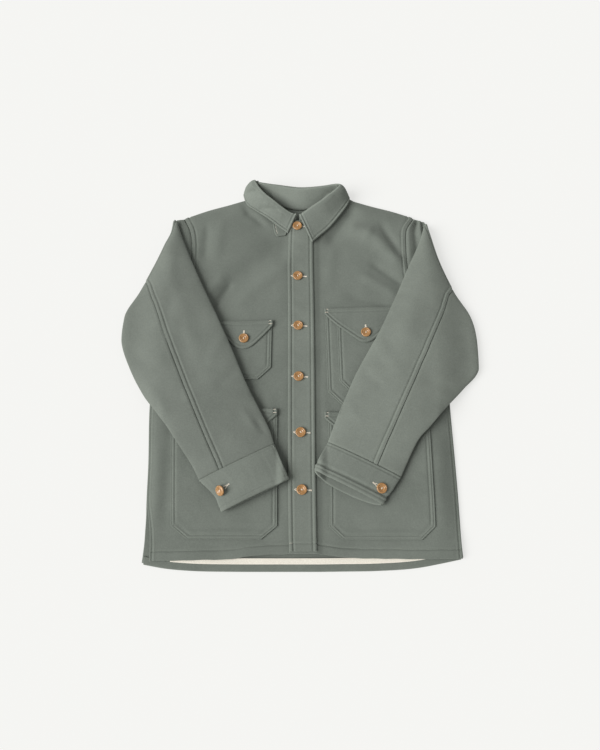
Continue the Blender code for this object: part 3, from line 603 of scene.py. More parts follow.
# Placket
# The buttonhole band is a second strip of wool on the edge of the right front. A row of stitches
# runs down its free edge, another down its inner edge, and one across its foot.

# y, left edge, right edge
PLACKET = (
    (-366, -20, 31),
    (-346, -21, 30.5),
    (138, -25, 28),
    (226, -26, 27),
    (329, -24, 27),
)
PLACKET_BUTTONS = ((-6, 313), (-5, 192), (-4, 80), (-3, -29), (1, -143), (3, -254))

light_wool = wool_finish("placket_wool", (0.128, 0.143, 0.123), (0.188, 0.208, 0.180))
band_near = EDGE + (3.5, 5.0, 6.3, 7.2, 8.0, 8.8, 9.7, 11.5)
foot_near = EDGE + (4.0, 8.0, 11.5, 13.2, 14.2, 15.0, 15.8, 16.8, 19.0)
low, high = -366.0, 328.0
a, b = np.meshgrid(shares(52, band_near, 2.0), shares(high - low, foot_near, 3.0))
y = low + b * (high - low)
x = read_table(PLACKET, y, 1) * (1 - a) + read_table(PLACKET, y, 2) * a


def placket_wrinkles(x, y):
    """Slight cross wrinkles between the buttons, deeper near the neck and beside each button."""
    fade = smooth((y + 380) / 500)
    cross = 0.32 * np.sin(y / 5.6 + 0.9 * np.sin(y / 21.0) + x / 16.0) * fade * np.exp(-((x + 6) / 13) ** 2)
    for button_x, button_y in PLACKET_BUTTONS:
        near = np.exp(-((y - button_y) / 15) ** 2 - ((x - button_x) / 17) ** 2)
        cross = cross - 0.55 * near
    return cross


placket_top = lay(x, y, front_under(x, y) + overlap_rise(x) + 2 * CLOTH + GAP)
across, up = line_lengths(placket_top)
from_right = across[:, -1:] - across
relief = groove(across, 8.0) + groove(from_right, 7.2) + groove(up, 15.0, 0.8) + placket_wrinkles(x, y)
relief = relief + 0.5 * smooth(across / 3) * smooth((8 - across) / 2) + pucker(y, 0.15)
relief = relief + 0.4 * smooth(from_right / 3) * smooth((7.2 - from_right) / 2)
_, face, normal = cloth_piece("placket", placket_top, CLOTH, light_wool, relief)
column, foot = band_near.index(8.0), foot_near.index(15.0)
topstitch("placket", face, normal, [np.s_[2:-2, column], np.s_[2:-2, -1 - column], np.s_[foot, column:-3]])
tack = np.s_[foot, 2:column + 1]
sew("placket_foot_tack", [stitch_row(face[tack], normal[tack])], cream_thread)

# Patch pockets
# Each pocket is a patch of wool with cut lower corners and two rows of stitches round its edge. The
# right chest has two patches, one on the other, and the bags sag softly above their lower seams.

# name, x left and right at the top, the same at the bottom, y of the top and of the bottom, width and
# height of the cut corners, layers under
POCKET_BAGS = (
    ("chest_pocket_left", -171, -57, -169, -58, 84, -34, 26, 25, 0),
    ("chest_pocket_right", 50, 209, 55, 206, 110, -96, 36, 36, 0),
    ("chest_pocket_right_inner", 74, 184, 77, 183, 104, -60, 20, 22, 1),
    ("lower_pocket_left", -251, -44, -238, -42, -100, -344, 30, 24, 0),
    ("lower_pocket_right", 55, 250, 53, 250, -107, -345, 26, 24, 0),
)
BAG_STITCHES = (2.8, 8.4)   # distances of the two rows of stitches from the edge

bag_near = EDGE + (2.8, 3.6, 5.0, 6.6, 7.6, 8.4, 9.2, 10.4, 13.0, 17.0, 21.0)
for name, left, right, left_low, right_low, top, bottom, cut_x, cut_y, layers in POCKET_BAGS:
    wide = min(right - left, right_low - left_low)
    a, b = np.meshgrid(shares(wide, bag_near, 4.0), shares(top - bottom, bag_near, 3.4))
    y = bottom + b * (top - bottom)
    down = (top - y) / (top - bottom)
    cut = np.clip((bottom + cut_y - y) / cut_y, 0, 1) * cut_x
    x_left = left + (left_low - left) * down + cut
    x_right = right + (right_low - right) * down - cut
    x = x_left + a * (x_right - x_left)
    outer = lay(x, y, front_top(x, y) + (layers + 1) * (CLOTH + GAP))
    slant = math.hypot(cut_x, cut_y)
    corner = (y - bottom - cut_y) * cut_x
    from_left = np.minimum(x - (left + (left_low - left) * down), ((x - left_low) * cut_y + corner) / slant)
    from_right = np.minimum((right + (right_low - right) * down) - x,
                            ((right_low - x) * cut_y + corner) / slant)
    inside = np.minimum(np.minimum(from_left, from_right), y - bottom)
    relief = groove(inside, BAG_STITCHES[0], 0.6, 1.0) + groove(inside, BAG_STITCHES[1])
    if name.startswith("lower"):
        middle = (x - (left_low + right_low) / 2) / (wide / 2)
        trough = np.exp(-((y - bottom - 20 - 3 * middle) / 4.5) ** 2) * smooth((0.72 - np.abs(middle)) / 0.3)
        sag = np.exp(-((y - bottom - 13) / 3.6) ** 2) * smooth((0.8 - np.abs(middle)) / 0.2)
        relief = relief - 1.3 * trough + 1.1 * sag
    relief = relief + pucker(x + y, 0.16)
    _, face, normal = cloth_piece(name, outer, CLOTH, body_wool, relief)
    rows = []
    for k in (bag_near.index(offset) for offset in BAG_STITCHES):
        rows.append(stitch_row(*(np.concatenate([grid[-3:k:-1, k], grid[k, k:-k], grid[k:-2, -1 - k]])
                                 for grid in (face, normal))))
    sew(name + "_stitching", rows, wool_thread)

# Pocket flaps
# Pointed flaps of wool, stitched down along the top and edged with a row of stitches. Short cream
# bar tacks hold their ends.

# name, x left and right, y of the top, its rise to the right end, length at the middle and at the
# ends, bow, rounded share, layers under
POCKET_FLAPS = (
    ("chest_flap_left", -172, -55, 91, 2.0, 61, 12, 2.0, 0.4, 1),
    ("chest_flap_right", 49, 215, 120, 3.0, 77, 11, 4.5, 0.2, 2),
    ("lower_flap_left", -250, -44, -95, 0.0, 75, 13, 3.0, 0.3, 1),
    ("lower_flap_right", 47, 250, -102, 0.0, 75, 13, 3.0, 0.3, 1),
)


def flap_length(share, middle, end, bow, tip):
    """Length of a flap across its width: slopes to a rounded tip, plus 27/4 bow s squared (1 - s)."""
    reach = np.abs(share)
    slope = (middle - end) / (1.0 - 0.5 * tip)
    drop = np.where(reach < tip, reach ** 2 / (2.0 * tip), reach - 0.5 * tip)
    return middle - slope * drop + bow * 27.0 / 4.0 * reach ** 2 * (1.0 - reach)


def bar_tack(centre, direction, length, width, height):
    """Close cross threads over a bar: lenses 0.55 mm apart, laid across its length."""
    direction = np.array(direction, dtype=float) / math.hypot(*direction)
    steps = np.arange(-length / 2, length / 2 + 0.01, 0.55)
    places = np.zeros((len(steps), 3))
    places[:, 0] = centre[0] + steps * direction[0]
    places[:, 1] = centre[1] + steps * direction[1]
    places[:, 2] = height
    tangents = np.tile([-direction[1], direction[0], 0.0], (len(steps), 1))
    normals = np.tile([0.0, 0.0, 1.0], (len(steps), 1))
    return thread_lenses(places, tangents, normals, (width / 2, 0.36, 0.42))


flap_near = EDGE + (3.0, 4.2, 5.2, 6.0, 6.8, 7.6, 8.5, 9.4, 11.0)
for name, left, right, top, rise, middle, end, bow, tip, layers in POCKET_FLAPS:
    wide = right - left
    a, b = np.meshgrid(shares(wide, flap_near, 2.5) * 2 - 1, shares(middle, flap_near, 2.2))
    x = (left + right) / 2 + a * wide / 2
    low = top + rise * a - flap_length(a, middle, end, bow, tip)
    y = low + b * flap_length(a, middle, end, bow, tip)
    stack = (layers + 1) * (CLOTH + GAP)
    outer = lay(x, y, front_top(x, y) + stack)
    slope = (middle - end) / (wide / 2)
    from_edge = (y - low) / math.hypot(1, slope)
    from_side = np.minimum(x - left, right - x)
    inside = np.minimum(from_edge, from_side)
    from_top = top + rise * a - y
    relief = groove(inside, 6.0) + groove(from_top, 8.5)
    relief = relief + 0.45 * smooth(inside / 2) * smooth((6 - inside) / 2) + pucker(x, 0.15)
    _, face, normal = cloth_piece(name, outer, CLOTH, body_wool, relief)
    k, upper = flap_near.index(6.0), flap_near.index(8.5)
    topstitch(name, face, normal, [np.s_[k, k:-k], np.s_[-1 - upper, 3:-3], np.s_[k:-k, k],
                                   np.s_[k:-k, -1 - k]])
    inner_x = right - 5 if right < 0 else left + 5
    tacks = []
    for drop, span in ((2.0, 6.0), (8.5, 6.5)):
        tack_y = top + (rise if right < 0 else -rise) - drop
        height = float(front_top(inner_x, tack_y)) + stack
        tacks.append(bar_tack((inner_x, tack_y), (1.0, 0.05), span, 1.5, height))
    sew(name + "_tacks", tacks, cream_thread)

# Sleeve heads
# The front of each sleeve head runs from the armhole seam out to the fold over the shoulder, where
# the fold pulls soft hollows into it. It is cut in one with the top sleeve.

# side: y of the top edge at the seam and at the fold, then place across, half width and height of
# each hollow or swell
HEADS = {
    "left": (336.0, 334.5, ((0.34, 0.20, 1.8), (0.80, 0.12, -2.0))),
    "right": (337.5, 329.0,
              ((0.10, 0.09, 1.4), (0.40, 0.13, -4.6), (0.62, 0.09, 2.4), (0.80, 0.07, -3.0))),
}

HEAD_FOOT = 158.0           # lower end, under the sleeve
HEAD_RISE = 4.6             # rise of the outer fold towards the sleeve that lies on it
HEAD_SIZE = (40, 176)
HEAD_PUFF = 1.2
HEAD_IN = 1.5               # how far the fold stays inside the outline

a, b = np.meshgrid(shares(HEAD_SIZE[0], EDGE + (3.0, 4.0), 1.4), shares(HEAD_SIZE[1], EDGE, 3.0))
for side, sign in (("left", -1), ("right", 1)):
    inner_top, outer_top, waves = HEADS[side]
    y = HEAD_FOOT + b * (inner_top + a * (outer_top - inner_top) - HEAD_FOOT)
    start = read_table(BODY_SIDES, y, 3 if sign < 0 else 4) + 0.15 + 3.2 * smooth((222 - y) / 26)
    end = read_table(SILHOUETTE, y, 1 if sign < 0 else 2) - HEAD_IN
    x = sign * (start + a * (end - start))
    wave = sum(height * np.exp(-((a - at) / width) ** 2) for at, width, height in waves)
    wave = wave * smooth((y - 215) / 30) * smooth((336 - y) / 10)
    relief = groove(a * HEAD_SIZE[0], 0, 0.8, 2.0)
    fold = HEAD_RISE * a ** 3 * rise_from_edge(shoulder_distance(x, y), SHOULDER_ROUND)
    outer = lay(x, y, front_under(x, y) + HEAD_PUFF * np.sin(math.pi * a) + CLOTH + wave + fold)
    if sign < 0:
        outer, relief = outer[:, ::-1], relief[:, ::-1]
    cloth_piece("sleeve_head_" + side, outer, CLOTH, body_wool, relief)

# Sleeves
# Two-piece sleeves, folded over the fronts. The top piece goes round the inner fold; the under
# piece joins it in a felled seam down the elbow, which is a raised band between two rows of
# stitches, and in a plain seam underneath.

BRIDGE_OUT = 45.0           # distances out of and into the body's outline between which a sleeve
BRIDGE_IN = 30.0            # comes down from the body to the table
UNDER_SEAM = 0.62           # girth at which the plain seam runs underneath
SEAM_GAP = 0.5
SLEEVE_LIFT = 1.15
# large folds of the fronts that the sleeves lie on: start x, y, end x, y, half width, height
BODY_FOLDS = (
    (210, 300, 120, 215, 20, 2.6),
    (222, 262, 150, 168, 17, -2.2),
    (224, 226, 160, 142, 16, 2.4),
    (120, 330, 60, 220, 26, 1.6),
    (-205, 300, -150, 190, 20, 1.8),
    (-190, 205, -120, 235, 15, -1.6),
    (-120, 325, -70, 200, 26, 1.4),
)
# x left, x right, y bottom, y top, height that the pockets raise
RAISED_GROUND = (
    (-172, -55, -36, 92, 6.2),
    (49, 215, -98, 121, 9.0),
    (-251, -43, -346, -94, 2.9),
    (-251, -43, -172, -94, 3.2),
    (47, 251, -346, -101, 2.9),
    (47, 251, -179, -101, 3.2),
)
# x, y of the inner fold, x, y of the outer fold, thickness
SLEEVE_LEFT = (
    (-265, 329, -271, 328, 6),
    (-256, 304, -274, 293, 10),
    (-246, 276, -296, 239, 13),
    (-226, 227, -331, 163, 15),
    (-205, 179, -359, 108, 16),
    (-182, 130, -361, 50, 17),
    (-159, 79, -340, -8, 17),
    (-132, 18, -306, -68, 16),
    (-108, -39, -262, -124, 15),
    (-82, -92, -230, -170, 14),
    (-60, -136, -205, -207, 13),
    (-49, -168, -189, -237, 12),
)
SLEEVE_RIGHT = (
    (264, 316, 270, 319, 6),
    (256, 287, 275, 292, 10),
    (247, 262, 291, 226, 13),
    (226, 215, 318, 160, 15),
    (206, 168, 347, 108, 16),
    (185, 120, 357, 58, 17),
    (159, 64, 356, -10, 18),
    (132, 15, 322, -52, 17),
    (107, -32, 281, -96, 16),
    (88, -76, 250, -132, 15),
    (70, -118, 222, -164, 14),
    (52, -165, 188, -232, 14),
)
# row of the sleeve's table, place of the elbow seam across the upper side from the outer fold
ELBOW_LEFT = (
    (0, 0), (2.7, 0), (3, 0.148), (3.5, 0.293), (4, 0.379), (4.5, 0.422), (5, 0.445), (5.5, 0.447),
    (6, 0.441), (6.5, 0.431), (7, 0.413), (7.5, 0.385), (8, 0.354), (9, 0.307), (10, 0.273), (11, 0.269),
)
ELBOW_RIGHT = (
    (0, 0), (2.85, 0), (3, 0.047), (3.5, 0.245), (4, 0.346), (4.5, 0.398), (5, 0.442), (5.5, 0.484),
    (6, 0.513), (6.5, 0.5), (7, 0.472), (8, 0.411), (9, 0.37), (10, 0.325), (11, 0.322),
)
FELL = 8.6                  # width of the felled seam
CROWN = 2.5                 # extra rise of the middle of the upper side
# start x, y, end x, y, half width, height of the creases on the upper side
SLEEVE_FOLDS = (
    (-280, 280, -256, 140, 14, 1.8),
    (-262, 150, -276, 20, 13, -1.4),
    (-246, 140, -214, 40, 15, 1.6),
    (-240, 60, -196, -50, 14, -1.2),
    (-335, 20, -262, -30, 13, -1.6),
    (-318, -20, -250, -120, 12, 2.2),
    (-300, -70, -232, -44, 11, 1.3),
    (-286, -96, -222, -74, 9, -1.5),
    (-150, 60, -180, -10, 12, 1.4),
    (-120, -10, -160, -60, 10, -1.3),
    (-84, -140, -112, -100, 8, 1.4),
    (-66, -150, -86, -120, 7, -1.2),
    (-200, -190, -160, -150, 10, 1.0),
    (256, 200, 204, 40, 22, 2.2),
    (300, 150, 262, 30, 18, -1.2),
    (330, 20, 260, -20, 13, 1.2),
    (300, -60, 240, -40, 12, -1.1),
    (150, 40, 190, -20, 13, 1.3),
    (120, -20, 160, -60, 11, -1.0),
    (90, -90, 120, -130, 9, 0.9),
    (372, 8, 276, -116, 2.0, -1.1),
    (290, -98, 214, -186, 2.0, -1.0),
)


def ground(x, y, ease=20.0, share=1.0):
    """Height of what a sleeve lies on: table, body and a share of the pockets, eased at each step."""
    bridge = smooth((side_distance(x, y) + BRIDGE_OUT) / (BRIDGE_OUT + BRIDGE_IN))
    shoulder = rise_from_edge(shoulder_distance(x, y) + 14, SHOULDER_ROUND)
    folds = sum(ridge(x, y, row) for row in BODY_FOLDS)
    body = (2 * CLOTH + GAP + (LOFT + folds) * shoulder) * bridge
    body = body + (1.0 - smooth((np.abs(x - 3) - 34) / 16)) * 2.0 * (CLOTH + GAP)
    for left, right, bottom, top, height in RAISED_GROUND:
        across = smooth((x - left + 20) / ease + 0.5) * smooth((right + 20 - x) / ease + 0.5)
        up = smooth((y - bottom + 20) / ease + 0.5) * smooth((top + 20 - y) / ease + 0.5)
        body = body + share * height * across * up
    return body


def tube_point(station, girth, lift):
    """Point of a flattened tube: girth 0 is its outer fold, 0.5 its inner fold, 0.75 underneath.

    The share across follows a cosine and the height a squared-off sine over the ground, with
    the crown times sine squared added on the upper side. The upper side bridges the steps below.
    """
    inner, outer, thick = station[..., 0:2], station[..., 2:4], station[..., 4]
    angle = 2.0 * math.pi * girth
    bow = np.sign(np.sin(angle)) * np.abs(np.sin(angle)) ** 0.8
    plan = outer + ((1.0 - np.cos(angle)) / 2.0)[..., None] * (inner - outer)
    crown = CROWN * np.clip(np.sin(angle), 0, 1) ** 2 * smooth((thick - 6) / 6)
    top = (1.0 + bow) / 2.0
    x, y = plan[..., 0], plan[..., 1]
    under = ground(x, y) * (1 - top) + ground(x, y, 100.0, 0.7) * top
    height = under + lift + thick * top + crown
    return np.concatenate([plan, height[..., None]], axis=-1)


def read_stations(table, steps):
    """Carry a smooth line through the rows of a table and read it at the given row numbers."""
    numbered = [(index,) + tuple(row) for index, row in enumerate(table)]
    return np.stack([read_table(numbered, steps, k + 1) for k in range(len(table[0]))], axis=-1)


def seam_girth(share):
    """Place round the tube of a seam that lies at a share across its upper side."""
    return np.arccos(np.clip(1.0 - 2.0 * np.abs(share), -1, 1)) / (2.0 * math.pi)


# Painted light: the two sleeves are one wool; the right sleeve's copy is painted about 14 % lighter than the
# left's to stand for the light that falls more on it.
sleeve_wools = {"left": wool_finish("left_sleeve_wool", (0.121, 0.134, 0.116), (0.179, 0.198, 0.172)),
                "right": wool_finish("right_sleeve_wool_painted_lighter", (0.138, 0.153, 0.132), (0.205, 0.227, 0.196))}
seam_near = EDGE + (3.0, 4.5, 6.0, 7.5, 8.6, 9.5, 10.4, 11.5, 13.0, 15.0)
SLEEVE_ROWS = 165
share = shares(250, seam_near, 4.0)
for side, table, elbow_table in (("left", SLEEVE_LEFT, ELBOW_LEFT), ("right", SLEEVE_RIGHT, ELBOW_RIGHT)):
    steps = np.linspace(0, len(table) - 1, SLEEVE_ROWS)
    if side == "left":
        steps = steps[::-1]
    stations = read_stations(table, steps)
    elbow = seam_girth(read_table(elbow_table, steps, 1))
    forearm = np.full_like(elbow, UNDER_SEAM)
    elbow_gap, forearm_gap = (
        SEAM_GAP / 2 * 0.02 / np.maximum(np.linalg.norm(
            tube_point(stations, seam + 0.01, 0) - tube_point(stations, seam - 0.01, 0), axis=-1), 1.2)
        for seam in (elbow, forearm))
    for name, start, end in (("sleeve_top_" + side, elbow + elbow_gap, forearm - forearm_gap),
                             ("sleeve_under_" + side, forearm + forearm_gap, elbow + 1 - elbow_gap)):
        girth = start[:, None] + share * (end - start)[:, None]
        outer = tube_point(np.repeat(stations[:, None, :], len(share), axis=1), girth, SLEEVE_LIFT)
        across, up = line_lengths(outer)
        upper = smooth((face_normals(outer)[..., 2] + 0.1) / 0.6)
        relief = sum(ridge(outer[..., 0], outer[..., 1], row) for row in SLEEVE_FOLDS) * upper
        if name.startswith("sleeve_top"):
            relief = relief + groove(across, FELL) + 0.6 * smooth((FELL - across) / 3)
            relief = relief + pucker(up, 0.25) * np.exp(-((across - 12) / 10) ** 2)
            columns = (seam_near.index(3.0), seam_near.index(FELL))
        else:
            from_elbow = across[:, -1:] - across
            relief = relief - 1.0 * np.exp(-(from_elbow / 2.4) ** 2)
            columns = (-1 - seam_near.index(4.5),)
        _, face, normal = cloth_piece(name, outer, CLOTH, sleeve_wools[side], relief)
        topstitch(name, face, normal, [np.s_[4:-4, k] for k in columns])

# Cuffs
# Band cuffs of doubled wool, closed round the ends of the sleeves. The mouth is a folded edge, and
# the right one stands open.

DOUBLE = 4.2                # thickness of the doubled wool
CUFF_LIFT = 1.5
CUFF_STITCH = 5.5
CUFF_ROWS = 40
CUFF_SIDES = 136
RIGHT_UNDER_LIP = 11.0      # how far the right cuff's under layer reaches past its upper one
# x, y of the inner end, x, y of the outer end, thickness at the inner end and at the outer end
CUFF_LEFT = (
    (-48.2, -169.6, -188.1, -238.7, 14, 14),
    (-43, -183, -171, -254, 15, 15),
    (-36, -200, -158, -268, 15, 15),
    (-29, -216, -152, -281, 15, 15),
    (-21, -234, -146, -295, 15, 16),
)
CUFF_RIGHT = (
    (51.4, -166.2, 187.4, -233.2, 15, 15),
    (44, -181, 179, -245, 17, 16),
    (36, -195, 171, -257, 20, 16),
    (30, -207, 162, -268, 23, 16),
    (27, -219, 154, -281, 26, 17),
)


def cuff_point(table, along, girth, lip):
    """Point on a cuff: along runs 0 to 1 to its mouth, lip lengthens its under layer there."""
    rows = np.array(table, dtype=float)
    station = read_stations(table, along * (len(table) - 1))
    across = (1.0 - np.cos(2.0 * math.pi * girth)) / 2.0
    thick = station[..., 5] + across * (station[..., 4] - station[..., 5])
    point = tube_point(np.concatenate([station[..., :4], thick[..., None]], axis=-1), girth, CUFF_LIFT)
    axis = (rows[-1, 0:2] + rows[-1, 2:4]) - (rows[0, 0:2] + rows[0, 2:4])
    axis = axis / np.hypot(*axis)
    under = np.clip(-np.sin(2.0 * math.pi * girth), 0, 1) * smooth((along - 0.4) / 0.6) * lip
    point[..., 0:2] += under[..., None] * axis
    return point


def ring_cloth(name, outer, thick, material, relief):
    """Closed ring of doubled cloth, rounded at both ends: half circles join its face and inside."""
    normal = face_normals(outer, closed=True)
    middle = outer - normal * thick / 2
    turn = np.linspace(0, math.pi, 9)[1:-1]
    ends = []
    for edge, inner in ((-1, -2), (0, 1)):
        away = outer[edge] - outer[inner]
        away = away / np.linalg.norm(away, axis=-1, keepdims=True)
        ends.append(np.stack([middle[edge] + thick / 2 * (np.cos(t) * normal[edge] + np.sin(t) * away)
                              for t in (turn if edge else turn[::-1])]))
    face = outer + normal * relief[..., None]
    loop = np.concatenate([face, ends[0], (outer - normal * thick)[::-1], ends[1]])
    rows, columns, _ = loop.shape
    quads = grid_quads(rows + 1, columns, closed=True) % (rows * columns)
    thing = make_mesh(name, loop.reshape(-1, 3), quads, material)
    return thing, face, normal


cuff_wool = wool_finish("cuff_wool", (0.132, 0.147, 0.127), (0.196, 0.217, 0.188))
for side, table, lip, sign in (("left", CUFF_LEFT, 0.0, -1), ("right", CUFF_RIGHT, RIGHT_UNDER_LIP, 1)):
    along, girth = np.meshgrid(np.linspace(0, 1, CUFF_ROWS), np.arange(CUFF_SIDES) / CUFF_SIDES,
                               indexing="ij")
    outer = cuff_point(table, along, girth, lip)
    if sign < 0:
        outer, girth = outer[:, ::-1], girth[:, ::-1]
    _, up = line_lengths(outer)
    from_mouth = up[-1:] - up
    relief = groove(from_mouth, CUFF_STITCH) + groove(up, 3.0, 0.8) + pucker(girth * 300, 0.2)
    if lip:
        relief = relief - 1.8 * np.exp(-((from_mouth - 14) / 3.4) ** 2)
        relief = relief + 0.8 * np.exp(-((from_mouth - 7) / 4) ** 2)
    name = "cuff_" + side
    thing, face, normal = ring_cloth("jacket_" + name, outer, DOUBLE, cuff_wool, relief)
    declare_cloth(name)
    topstitch(name, face, normal, [int(np.argmin(np.abs(from_mouth.mean(axis=1) - CUFF_STITCH)))])

# Throat tab
# A short strap of wool with round ends that lies on the left front; its lower edge shows below the
# collar.

TAB_CENTRE = (-43, 309)
TAB_TURN = math.radians(-78)
TAB_SIZE = (34, 27)

length, width = TAB_SIZE
a, b = np.meshgrid(*(shares(size, EDGE + (3.0, 4.2, 5.0, 5.8), 2.0) * 2 - 1 for size in TAB_SIZE))
u = a * length / 2
v = b * width / 2 * (1.0 - 0.35 * np.abs(a) ** 4)
x = TAB_CENTRE[0] + u * math.cos(TAB_TURN) - v * math.sin(TAB_TURN)
y = TAB_CENTRE[1] + u * math.sin(TAB_TURN) + v * math.cos(TAB_TURN)
outer = lay(x, y, front_top(x, y) + CLOTH + GAP)
relief = groove(edge_distance(outer), 5.0, 0.4)
_, face, normal = cloth_piece("throat_tab", outer, CLOTH, light_wool, relief)
sew("throat_tab_stitching", [stitch_row(face[7, 7:-7], normal[7, 7:-7])], cream_thread)

# Collar
# One turned-down collar of doubled wool: a stand that leans up from the neck seam, a round roll and
# a fall that lies over the fronts, with a row of stitches 5.5 mm inside its edge.

# neck x, y; roll x, y, z; edge x, y; height of the edge over what it lies on; 0 laid to 1 hanging
COLLAR = (
    (-9, 327, -7, 337, 25, -26, 296, 6.2, 0.0),
    (-22, 330, -21, 340, 27, -43, 309, 7.0, 0.0),
    (-40, 340, -40, 351, 33, -70, 331, 7.0, 0.0),
    (-58, 352, -58, 364, 39, -96, 351, 4.8, 0.1),
    (-74, 366, -75, 377, 43, -114, 367, 4.0, 0.2),
    (-84, 378, -88, 391, 46, -120, 385, 6.0, 0.5),
    (-88, 387, -96, 407, 47, -121, 401, 5.0, 0.9),
    (-74, 384, -82, 402, 43, -97, 411, 2.4, 1.0),
    (-42, 369, -45, 396, 40, -50, 409, 2.4, 1.0),
    (0, 360, 0, 390, 39, 0, 404, 2.4, 1.0),
    (40, 368, 43, 394, 40, 48, 405, 2.4, 1.0),
    (68, 381, 72, 399, 42, 83, 407, 2.4, 1.0),
    (82, 384, 84, 398, 44, 100, 396, 5.0, 0.9),
    (78, 375, 77, 389, 43, 106, 382, 6.0, 0.5),
    (66, 359, 59, 375, 40, 102, 365, 8.0, 0.2),
    (48, 345, 41, 362, 36, 86, 340.5, 8.5, 0.1),
    (30, 336, 21, 350, 31, 63, 311, 6.5, 0.0),
    (10, 329, 5, 339, 27, 39, 286, 5.4, 0.0),
    (-1, 325, -2, 335, 25, 25, 270, 5.6, 0.0),
)
NECK_BACK = (7, 11)         # rows of the table whose neck seam is on the back
COLLAR_ROLL = 0.42          # share of the width that stands
COLLAR_CLOTH = 3.36
COLLAR_STITCH = 5.5
ROLL_PASSES = 6             # passes of smoothing that round the roll


def on_placket(x):
    """Rise from a front to the placket on it, eased beside its edges."""
    return (1.0 - smooth((abs(x - 3) - 30) / 14)) * (CLOTH + GAP)


def collar_stations(steps):
    """Neck seam, roll and edge at each step round the collar, with the heights that they rest at."""
    rows = []
    for index, (nx, ny, rx, ry, rz, ex, ey, lift, hang) in enumerate(COLLAR):
        if NECK_BACK[0] <= index <= NECK_BACK[1]:
            neck_z = CLOTH + 2.2
        else:
            neck_z = float(front_top(nx, ny)) + 3.2 + on_placket(nx)
        inside = smooth(1.0 + (float(shoulder_distance(ex, ey)) + 2) / 10)
        edge_z = (float(front_top(ex, ey)) + on_placket(ex)) * inside + lift - 1.6
        rows.append((nx, ny, neck_z, rx, ry, rz, ex, ey, edge_z, hang))
    return read_stations(rows, steps)


def collar_point(stations, v):
    """Straight up the stand, then over the fall, which lies flat or hangs in a quarter circle."""
    neck, roll, edge = stations[..., 0:3], stations[..., 3:6], stations[..., 6:9]
    hang = stations[..., 9:10]
    over = np.clip((v - COLLAR_ROLL) / (1 - COLLAR_ROLL), 0, 1)
    stand = neck + (roll - neck) * np.clip(v / COLLAR_ROLL, 0, 1)
    level = (1 - hang) * over + hang * np.sin(over * math.pi / 2)
    drop = (1 - hang) * smooth(over) + hang * (1 - np.cos(over * math.pi / 2))
    fall = np.concatenate([roll[..., 0:2] + (edge - roll)[..., 0:2] * level,
                           roll[..., 2:3] + (edge - roll)[..., 2:3] * drop], axis=-1)
    return np.where(v < COLLAR_ROLL, stand, fall)


# start x, y, end x, y, half width, height of the creases in the fall and in the stand behind it
FALL_FOLDS = (
    (-112, 390, -72, 375, 5, -3.2),
    (-106, 398, -84, 392, 8, 1.4),
    (-92, 352, -34, 345, 6, -3.2),
    (-80, 338, -34, 330, 9, 1.2),
    (-70, 366, -50, 352, 10, 1.0),
    (60, 350, 84, 372, 14, -0.8),
)
STAND_FOLDS = (
    (-88, 414, -52, 362, 3.2, -2.6),
    (-80, 416, -44, 354, 3.0, 1.6),
    (-72, 410, -38, 352, 3.2, -2.2),
    (72, 406, 42, 360, 3.4, -2.6),
    (80, 404, 62, 380, 3.4, -2.0),
)

collar_wool = wool_finish("collar_wool", (0.137, 0.153, 0.132), (0.202, 0.223, 0.194))
collar_near = EDGE + (3.5, 4.8, 5.5, 6.2, 7.0, 8.5)
steps = shares(560, collar_near, 2.5) * (len(COLLAR) - 1)
v = np.concatenate([np.linspace(0, 0.33, 14), np.linspace(0.33, 0.52, 25)[1:], np.linspace(0.52, 1, 41)[1:]])
stations = np.repeat(collar_stations(steps)[:, None, :], len(v), axis=1)
middle = collar_point(stations, np.broadcast_to(v[None, :, None], stations.shape[:2] + (1,)))
for _ in range(ROLL_PASSES):
    middle[:, 1:-1] = (middle[:, :-2] + 2 * middle[:, 1:-1] + middle[:, 2:]) / 4
middle = middle.transpose(1, 0, 2)
across, up = line_lengths(middle)
inside = np.minimum(up[-1:] - up, np.minimum(across, across[:, -1:] - across))
place = middle[..., 0], middle[..., 1]
depth_share = up / up[-1:]
relief = groove(inside, COLLAR_STITCH) + 0.5 * smooth(inside / 2) * smooth((COLLAR_STITCH - inside) / 2)
relief = relief + pucker(across, 0.18) * smooth(up / 30)
relief = relief + sum(ridge(*place, row) for row in FALL_FOLDS) * smooth((depth_share - 0.46) / 0.08)
relief = relief - sum(ridge(*place, row) for row in STAND_FOLDS) * smooth((0.33 - depth_share) / 0.1)
outer = middle + face_normals(middle) * COLLAR_CLOTH / 2
thing, face, normal = cloth_piece("collar", outer, COLLAR_CLOTH, collar_wool, relief)
# Painted light: the stand and the roll get a copy of the collar's wool about a quarter lighter, painted to
# stand for the light that falls on the stand's face.
thing.data.materials.append(wool_finish("stand_wool_painted_lighter", (0.172, 0.192, 0.165), (0.250, 0.276, 0.240)))
painted_lighter_stand = np.zeros(len(thing.data.polygons), dtype=np.int32)
painted_lighter_stand[:int(np.sum(v < COLLAR_ROLL + 0.03)) * (across.shape[1] - 1)] = 1
thing.data.polygons.foreach_set("material_index", painted_lighter_stand)
row = int(np.argmin(np.abs((up[-1:] - up).mean(axis=1) - COLLAR_STITCH)))
topstitch("collar", face, normal, [np.s_[row, 6:-6]])

# Buttons
# Buttons turned from tan nut shell: a raised round rim, a dished middle and two holes with cream
# thread across. Six on the placket, one on each chest flap and one on each cuff.

BUTTON_RADIUS = 10.0
BUTTON_HEIGHT = 3.6
BUTTON_SIDES = 40
BUTTON_LIFT = 0.5           # air between a button and its band
CHEST_BUTTONS = (("left", -113, 52, 1), ("right", 132, 64, 2))   # side, x, y, layers under the flap
# side, cuff, its lip, girth and place along the cuff, lean of the button, turn of its buttonhole
CUFF_BUTTONS = (("left", CUFF_LEFT, 0.0, 0.105, 0.45, (-0.7, -0.45, 0.0), 40),
                ("right", CUFF_RIGHT, RIGHT_UNDER_LIP, 0.115, 0.6, (0.0, 0.0, 0.0), 146))
